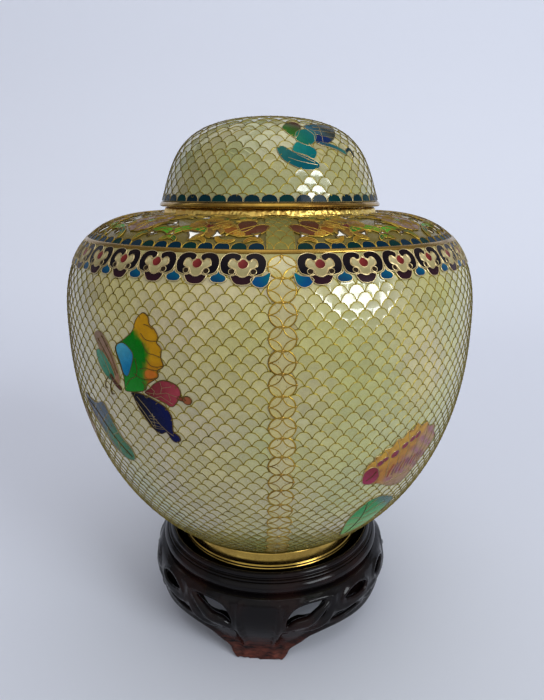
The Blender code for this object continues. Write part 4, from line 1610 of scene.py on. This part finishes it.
for angle in band_angles():
    lattice = Picture(body, angle, RING_RISE)
    top = RING_DROP / MM - 0.4
    edge = 0.92 * LATTICE_HALF
    outline = mirrored(((LATTICE_HALF, 0.9), (0.86 * LATTICE_HALF, top)))
    lattice.fill(outline, shaded(tone(128, 122, 62), tone(92, 92, 48), (-2, 4), (3, 18)), 2)
    lattice.line(outline, closed=True)
    for row in range(LATTICE_ROWS):
        base = 1.0 + LATTICE_STEP * row
        size = 1.5 * (1 - 0.014 * base)
        for column in ((-1, 1) if row % 2 else (-2, 0, 2)):
            arch = arched(size, LATTICE_STEP, 8, u=size * column, v=base)
            lattice.line([(min(max(u, -edge), edge), min(v, top)) for u, v in arch])
    shoulder.append(lattice)


def pierced(bm):
    """A sheet on the shoulder with the openings cut out of it."""
    for centre, side, down, out, reach, outline in opening_frames():
        near = [face for face in bm.faces if (face.verts[0].co - centre).length < reach + FACE_REACH]
        for (u0, v0), (u1, v1) in zip(outline, outline[1:] + outline[:1]):
            geom = set(near)
            for face in near:
                geom.update(face.edges)
                geom.update(face.verts)
            halved = bmesh.ops.bisect_plane(bm, geom=list(geom), dist=1e-7,
                                            plane_co=centre + side * u0 - down * v0,
                                            plane_no=side * (v1 - v0) + down * (u1 - u0))
            near = [part for part in halved["geom"] if isinstance(part, bmesh.types.BMFace)]
        gone = []
        for face in near:
            offset = face.calc_center_median() - centre
            if inside(outline, (offset.dot(side), -offset.dot(down))):
                gone.append(face)
        bmesh.ops.delete(bm, geom=gone, context="FACES")
    return bm


hole_rims = []
for angle, rise, reach, flip in openings():
    outline = hole_outline(reach * 1.06, flip, 3)
    hole_rims.append([(angle + math.degrees(u / body.radius(rise + v)), rise + v) for u, v in outline])
hole_covers = turned_covers(hole_rims)
shoulder_runs = []
for run in runs_of(shoulder):
    shoulder_runs += kept_runs(run, hole_covers, run[0][0], 6.0)
shoulder_enamel = clear_enamel("shoulder_enamel", shine=0.03)
rim_gilt = gilding("rim_gilt", (0.16, 0.11, 0.04), (0.06, 0.04, 0.02), 0.20, 0.38, 200.0)
hole_rims = [rim + rim[:1] for rim in hole_rims]
on_jar("shoulder_enamel", pierced(enamel_bmesh(shoulder)), shoulder_enamel)
on_jar("shoulder_wire", wire_bmesh(body, shoulder_runs, 0.26 * MM, 0.13 * MM, 0.08 * MM), bold_gilt)
on_jar("opening_rims", wire_bmesh(body, hole_rims, 0.42 * MM, 0.22 * MM, 0.02 * MM), rim_gilt)

# Neck collar: a flat ledge and a short upright neck of hammered gilt brass, set into the mouth. The ledge
# is rolled up at its edge and carries the lid's rim, and the neck stands inside the lid.
collar_low, collar_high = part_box("neck_collar")
NECK_RADIUS = 26.6 * MM
NECK_WALL = 1.0 * MM
LEDGE_TOP = collar_low.z + 2.4 * MM
ledge_radius = collar_high.x


def collar_section():
    """Half section of the collar, its ledge rolled over at the edge."""
    low = collar_low.z
    edge = ledge_radius
    section = [(NECK_RADIUS - NECK_WALL, low), (edge - 0.3 * MM, low)]
    section += cubic((edge, low + 0.3 * MM), (edge - 0.15 * MM, LEDGE_TOP - 1.3 * MM),
                     (edge - 0.3 * MM, LEDGE_TOP - 0.6 * MM), (edge - 0.6 * MM, LEDGE_TOP + 0.3 * MM), 8)
    section += [(edge - 0.9 * MM, LEDGE_TOP + 0.4 * MM), (edge - 1.6 * MM, LEDGE_TOP)]
    section += [(NECK_RADIUS + 0.2 * MM, LEDGE_TOP), (NECK_RADIUS, LEDGE_TOP + 0.2 * MM)]
    half = 0.5 * NECK_WALL
    return section + arc((NECK_RADIUS - half, collar_high.z - half), half, 0, 180, 8)


hammered = gilding("hammered_gilt", (1.0, 0.74, 0.20), (0.90, 0.52, 0.11), 0.36, 0.50, 140.0, dents=0.9 * MM)
dressed("neck_collar", spun(collar_section(), WALL_STEPS), "neck_collar", "gilt", hammered)

# Lid rim: a smooth ring of gilt brass round the lid's foot, flat below and inside and rounded on its outer
# side, with the enamelled dome soldered onto it.
rim_low, rim_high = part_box("lid_rim")
RIM_RADIUS = rim_high.x
RIM_BORE = NECK_RADIUS + 0.8 * MM


def rim_section():
    """Half section of the lid's rim."""
    low = rim_low.z + 0.45 * MM
    top = rim_high.z + 0.3 * MM
    size = 0.4 * (rim_high.z - low)
    section = [(RIM_BORE, low)] + arc((RIM_RADIUS - size, low + size), size, -90, 40, 9)
    return section + [(RIM_RADIUS - 0.5 * MM, top - 0.15 * MM), (RIM_RADIUS - 1.2 * MM, top), (RIM_BORE, top)]


orange_gilt = gilding("orange_gilt", (0.40, 0.24, 0.04), (0.18, 0.09, 0.018), 0.16, 0.30)
dressed("lid_rim", spun(rim_section(), WALL_STEPS), "lid_rim", "gilt", orange_gilt)

# Lid dome: thin copper raised to a steep dome with a flat crown, with a net of scales like the belly's, a
# row of dark blue scallops on the rim, and one butterfly to the front and another behind.
lid_low, lid_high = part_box("lid_dome")
LID_WALL = 1.1 * MM
LID_STEP = 1.87 * MM
LID_START = 0.5 * MM
LID_COUNTS = (46, 38, 30, 22, 14, 8)
LID_SCALLOPS = 46
CROWN_ROOM = 1.6 * MM
SCALE_ROOM = 3.45 * MM


def lid_line(count):
    """Outer line of the dome, from its foot up to the crown."""
    foot = RIM_RADIUS - 0.7 * MM
    height = lid_high.z - lid_low.z
    corners = ((foot, 0.0), (0.875 * foot, 0.603 * height), (0.802 * foot, height), (0.0, height))
    return [(r, lid_low.z + z) for r, z in cubic(*corners, count)]


lid = Wall(lid_line(160))


def dome_bmesh():
    """The dome's wall, a hair under its enamel cells, open below."""
    section = []
    for line, depth in ((lid_line(40), CELL_ROOM), (lid_line(20), LID_WALL)):
        line = moved_line(line, -depth)
        line[0] = (line[0][0], lid_low.z)
        line[-1] = (0.0, lid_high.z - depth)
        section = section[::-1] + line
    return spun(section, 128, closed=False)


def lid_shade(angle, rise):
    """Edge and heart colours of a scale at a place on the lid."""
    turn = math.radians(angle)
    point = Vector((30 * math.sin(turn), 30 * math.cos(turn), rise / MM)) * 0.09 + Vector((40, 0, 0))
    patch = math.exp(-((angle % 360.0 - 332.0) / 16.0) ** 2 - ((rise / MM - 27.0) / 6.0) ** 2)
    green = clamp(0.35 + 1.2 * noise(point) + patch)
    heart = CREAM.lerp(ROSE_GREY, 0.3).lerp(tone(148, 166, 74), 0.15 + 0.5 * green)
    edge = CREAM_EDGE.lerp(tone(150, 168, 90), 0.2 + 0.5 * green)
    light = shade_chance.uniform(0.64, 0.84)
    return edge * light, heart * light


lid_counts = []
while LID_START + len(lid_counts) * LID_STEP < lid.span - CROWN_ROOM:
    r = lid.radius(LID_START + (len(lid_counts) + 0.5) * LID_STEP)
    room = [count for count in LID_COUNTS if math.tau * r / count > SCALE_ROOM]
    lid_counts.append(max(room) if room else LID_COUNTS[-1])
lid_net = Net(lid, LID_START, LID_STEP, lid_counts, 7)


def lid_butterfly(picture):
    """Small butterfly in teal, green and navy, its wings spread up to the left and right."""
    left = rounded(((-0.6, 10.6), (0.4, 12), (2.4, 12), (3.4, 9.8), (2.6, 7.6), (1.2, 5.2), (-0.4, 6.4),
                    (-1.6, 8.6)), 3)
    middle = rounded(((1, 5), (1.8, 7.4), (4, 8.4), (6.4, 8), (6.6, 5.2), (4.6, 3), (2.2, 3.5)), 3)
    right = rounded(((4.2, 10), (7.8, 11.4), (13.4, 11.6), (14.4, 9), (12.4, 5.4), (8.6, 3.4), (6.2, 3.9),
                     (6.2, 6.4), (4.8, 8.2)), 3)
    navy = rounded(((6.4, 4.2), (7.2, 6.4), (9.6, 6), (11.2, 4.8), (8.6, 3.7)), 3)
    upper = rounded(((-0.2, 2), (1.2, 3.8), (3.1, 3.2), (5.4, 2.2), (6, 1), (5, -0.7), (3.1, 0.2),
                     (0.4, 1)), 3)
    low = rounded(((-3.9, 2), (-2.4, 2.6), (0, 1), (3.1, -0.1), (6.4, -1.9), (5.4, -3.3), (2.1, -3.4),
                   (-1.2, -2), (-3.1, -0.4)), 3)
    trunk = stroke(curve(((7.6, 3.6), (10.2, 3.2), (12.8, 2.4), (15.6, 1.2)), 3), 1.0)
    hook = stroke(curve(((15.9, 1.6), (17.2, 2.5), (18.2, 2), (18.8, 0.7)), 3), 0.9)
    for outline in (left, middle, right, upper, low, trunk, hook):
        picture.cover(outline)
    picture.cell(left, shaded(tone(30, 96, 14), tone(62, 26, 16), (-0.4, 7.4), (2.6, 10.8)))
    picture.cell(right, shaded(tone(16, 84, 104), tone(40, 46, 40), (5, 8), (11, 9)), 1)
    picture.veins((((6.6, 9.6), (9.6, 9.6), (13.6, 9.6)), ((6.8, 8.2), (9.6, 8), (13.4, 7.6)),
                   ((7, 6.6), (9.4, 6), (12.4, 5.8)), ((8.8, 10.8), (8.6, 7.4), (8.4, 4.2))))
    picture.fill(navy, tone(6, 34, 84), 3)
    picture.cell(middle, shaded(tone(0, 104, 72), tone(0, 92, 96), (1, 5), (6, 7)), 2)
    picture.cell(upper, shaded(tone(0, 118, 108), tone(0, 100, 104), (0, 2), (5, 0)), 3)
    picture.cell(low, shaded(tone(30, 96, 88), tone(0, 84, 96), (-3, 2), (2, -2)), 2)
    picture.veins((((-1.4, -0.4), (1.6, -1.4), (5.8, -2.2)), ((0.8, 0.4), (3.4, -0.8), (5.2, -1.6))))
    picture.cell(trunk, shaded(tone(16, 72, 96), tone(40, 104, 96), (8, 3), (15, 1)), 4)
    picture.cell(hook, tone(6, 40, 44), 4)


def on_lid(name, bm, material):
    """A piece of enamel or wire on the lid's wall."""
    dressed(name, bm, "lid_dome", "wire_enamel", material)


lid_pictures = []
for angle, size in ((12.5, 1.0), (192.5, 0.95)):
    picture = Picture(lid, angle, 11.2 * MM, size=size)
    lid_butterfly(picture)
    lid_pictures.append(picture)
for number in range(LID_SCALLOPS):
    picture = Picture(lid, number * 360.0 / LID_SCALLOPS, 0.15 * MM)
    blue = (tone(0, 40, 50), tone(0, 50, 50), tone(6, 34, 46))[number % 3]
    scallop(picture, blue, math.pi * lid.radius(0.5 * MM) / MM / LID_SCALLOPS * 0.95, 1.75)
    lid_pictures.append(picture)

lid_places, lid_runs = laid(lid_net, covers_of(lid_pictures))
on_lid("lid_dome", dome_bmesh(), wall_enamel)
on_lid("lid_enamel", net_cells(lid_net, lid_places, lid_shade), net_enamel)
on_lid("lid_wire", wire_bmesh(lid, lid_runs, 1.15 * WIRE_WIDTH, WIRE_HEIGHT, flare=1.7), wire_gilt)
on_lid("lid_pictures", enamel_bmesh(lid_pictures), enamel)
lid_lines = wire_bmesh(lid, runs_of(lid_pictures), 0.19 * MM, 0.10 * MM, PICTURE_LIFT)
on_lid("lid_picture_wire", lid_lines, faint_gilt)

# Studio: a plain pale cloth that sweeps up behind the jar, a window to the right of the camera, weaker lights
# before and above the jar and on the cloth behind it, and a room that is brighter above, in front and to
# the right.
FLOOR_HALF = 1.4
SWEEP_START = 0.30
SWEEP_RADIUS = 0.35
FLOOR_FRONT = -0.17
CLOTH_TOP = 0.62
CAMERA_TILT = 15.73
sweep = [(FLOOR_FRONT, 0.0)] + arc((SWEEP_START, SWEEP_RADIUS), SWEEP_RADIUS, -90, 0, 10)
sweep.append((SWEEP_START + SWEEP_RADIUS, CLOTH_TOP))
bm = bmesh.new()
verts = [bm.verts.new((-FLOOR_HALF, y, z)) for y, z in sweep]
edges = [bm.edges.new(pair) for pair in zip(verts, verts[1:])]
swept = bmesh.ops.extrude_edge_only(bm, edges=edges)["geom"]
bmesh.ops.translate(bm, verts=[part for part in swept if isinstance(part, bmesh.types.BMVert)],
                    vec=(2 * FLOOR_HALF, 0.0, 0.0))
bmesh.ops.recalc_face_normals(bm, faces=bm.faces)
floor = raw_object("floor", bm)
floor.data.shade_smooth()
floor_material, tree, shader, places = surface("pale_cloth")
shader.inputs["Base Color"].default_value = (0.68, 0.70, 0.78, 1.0)
shader.inputs["Roughness"].default_value = 0.9
floor.data.materials.append(floor_material)

scene = bpy.context.scene
world = bpy.data.worlds.new("studio")
world.use_nodes = True
tree = world.node_tree
sky = tree.nodes.new("ShaderNodeTexCoord").outputs["Generated"]
direction = add(tree, "ShaderNodeSeparateXYZ", {"Vector": sky}).outputs
right = ramped(tree, direction["X"], -0.5, 0.9, 0.0, 0.10)
above = ramped(tree, direction["Z"], 0.76, 1.0, 0.0, 0.60)
front = ramped(tree, direction["Y"], -0.3, 0.6, 0.38, 0.14)
strength = maths(tree, "ADD", maths(tree, "ADD", right, above), front)
feed(tree, tree.nodes["Background"].inputs["Color"], (0.93, 0.95, 1.0))
feed(tree, tree.nodes["Background"].inputs["Strength"], strength)
scene.world = world


def soft_light(name, angle, height, distance, width, tall, power, colour, middle=Vector((0.0, 0.0, 0.09))):
    """A rectangular light that faces the jar, or another place."""
    data = bpy.data.lights.new(name, "AREA")
    data.shape = "RECTANGLE"
    data.size = width
    data.size_y = tall
    data.energy = power
    data.color = colour
    light = bpy.data.objects.new(name, data)
    turn = math.radians(height)
    light.location = round_point(angle, distance * math.cos(turn), distance * math.sin(turn)) + middle
    light.rotation_mode = "QUATERNION"
    light.rotation_quaternion = (middle - light.location).to_track_quat("-Z", "Y")
    bpy.context.collection.objects.link(light)


soft_light("window", 48, 22, 1.9, 0.78, 0.76, 17.0, (0.90, 0.96, 1.0))
soft_light("curtain", -12, 24, 2.0, 2.8, 1.7, 4.6, (1.0, 0.98, 0.95))
soft_light("overhead", 20, 76, 1.0, 0.8, 0.8, 1.7, (0.97, 0.98, 1.0))
soft_light("cloth_light", 0, 60, 0.75, 1.6, 0.3, 1.2, (1.0, 1.0, 1.0), Vector((0.0, 0.8, 0.1)))

camera_data = bpy.data.cameras.new("camera")
camera_data.sensor_width = 36.0
camera_data.lens = 28.8
camera_data.clip_start = 0.01
camera = bpy.data.objects.new("camera", camera_data)
camera.location = (0.0006, -0.166, 0.1296)
camera.rotation_euler = (math.radians(90 - CAMERA_TILT), 0.0, 0.0)
bpy.context.collection.objects.link(camera)
scene.camera = camera
scene.view_settings.view_transform = "Standard"
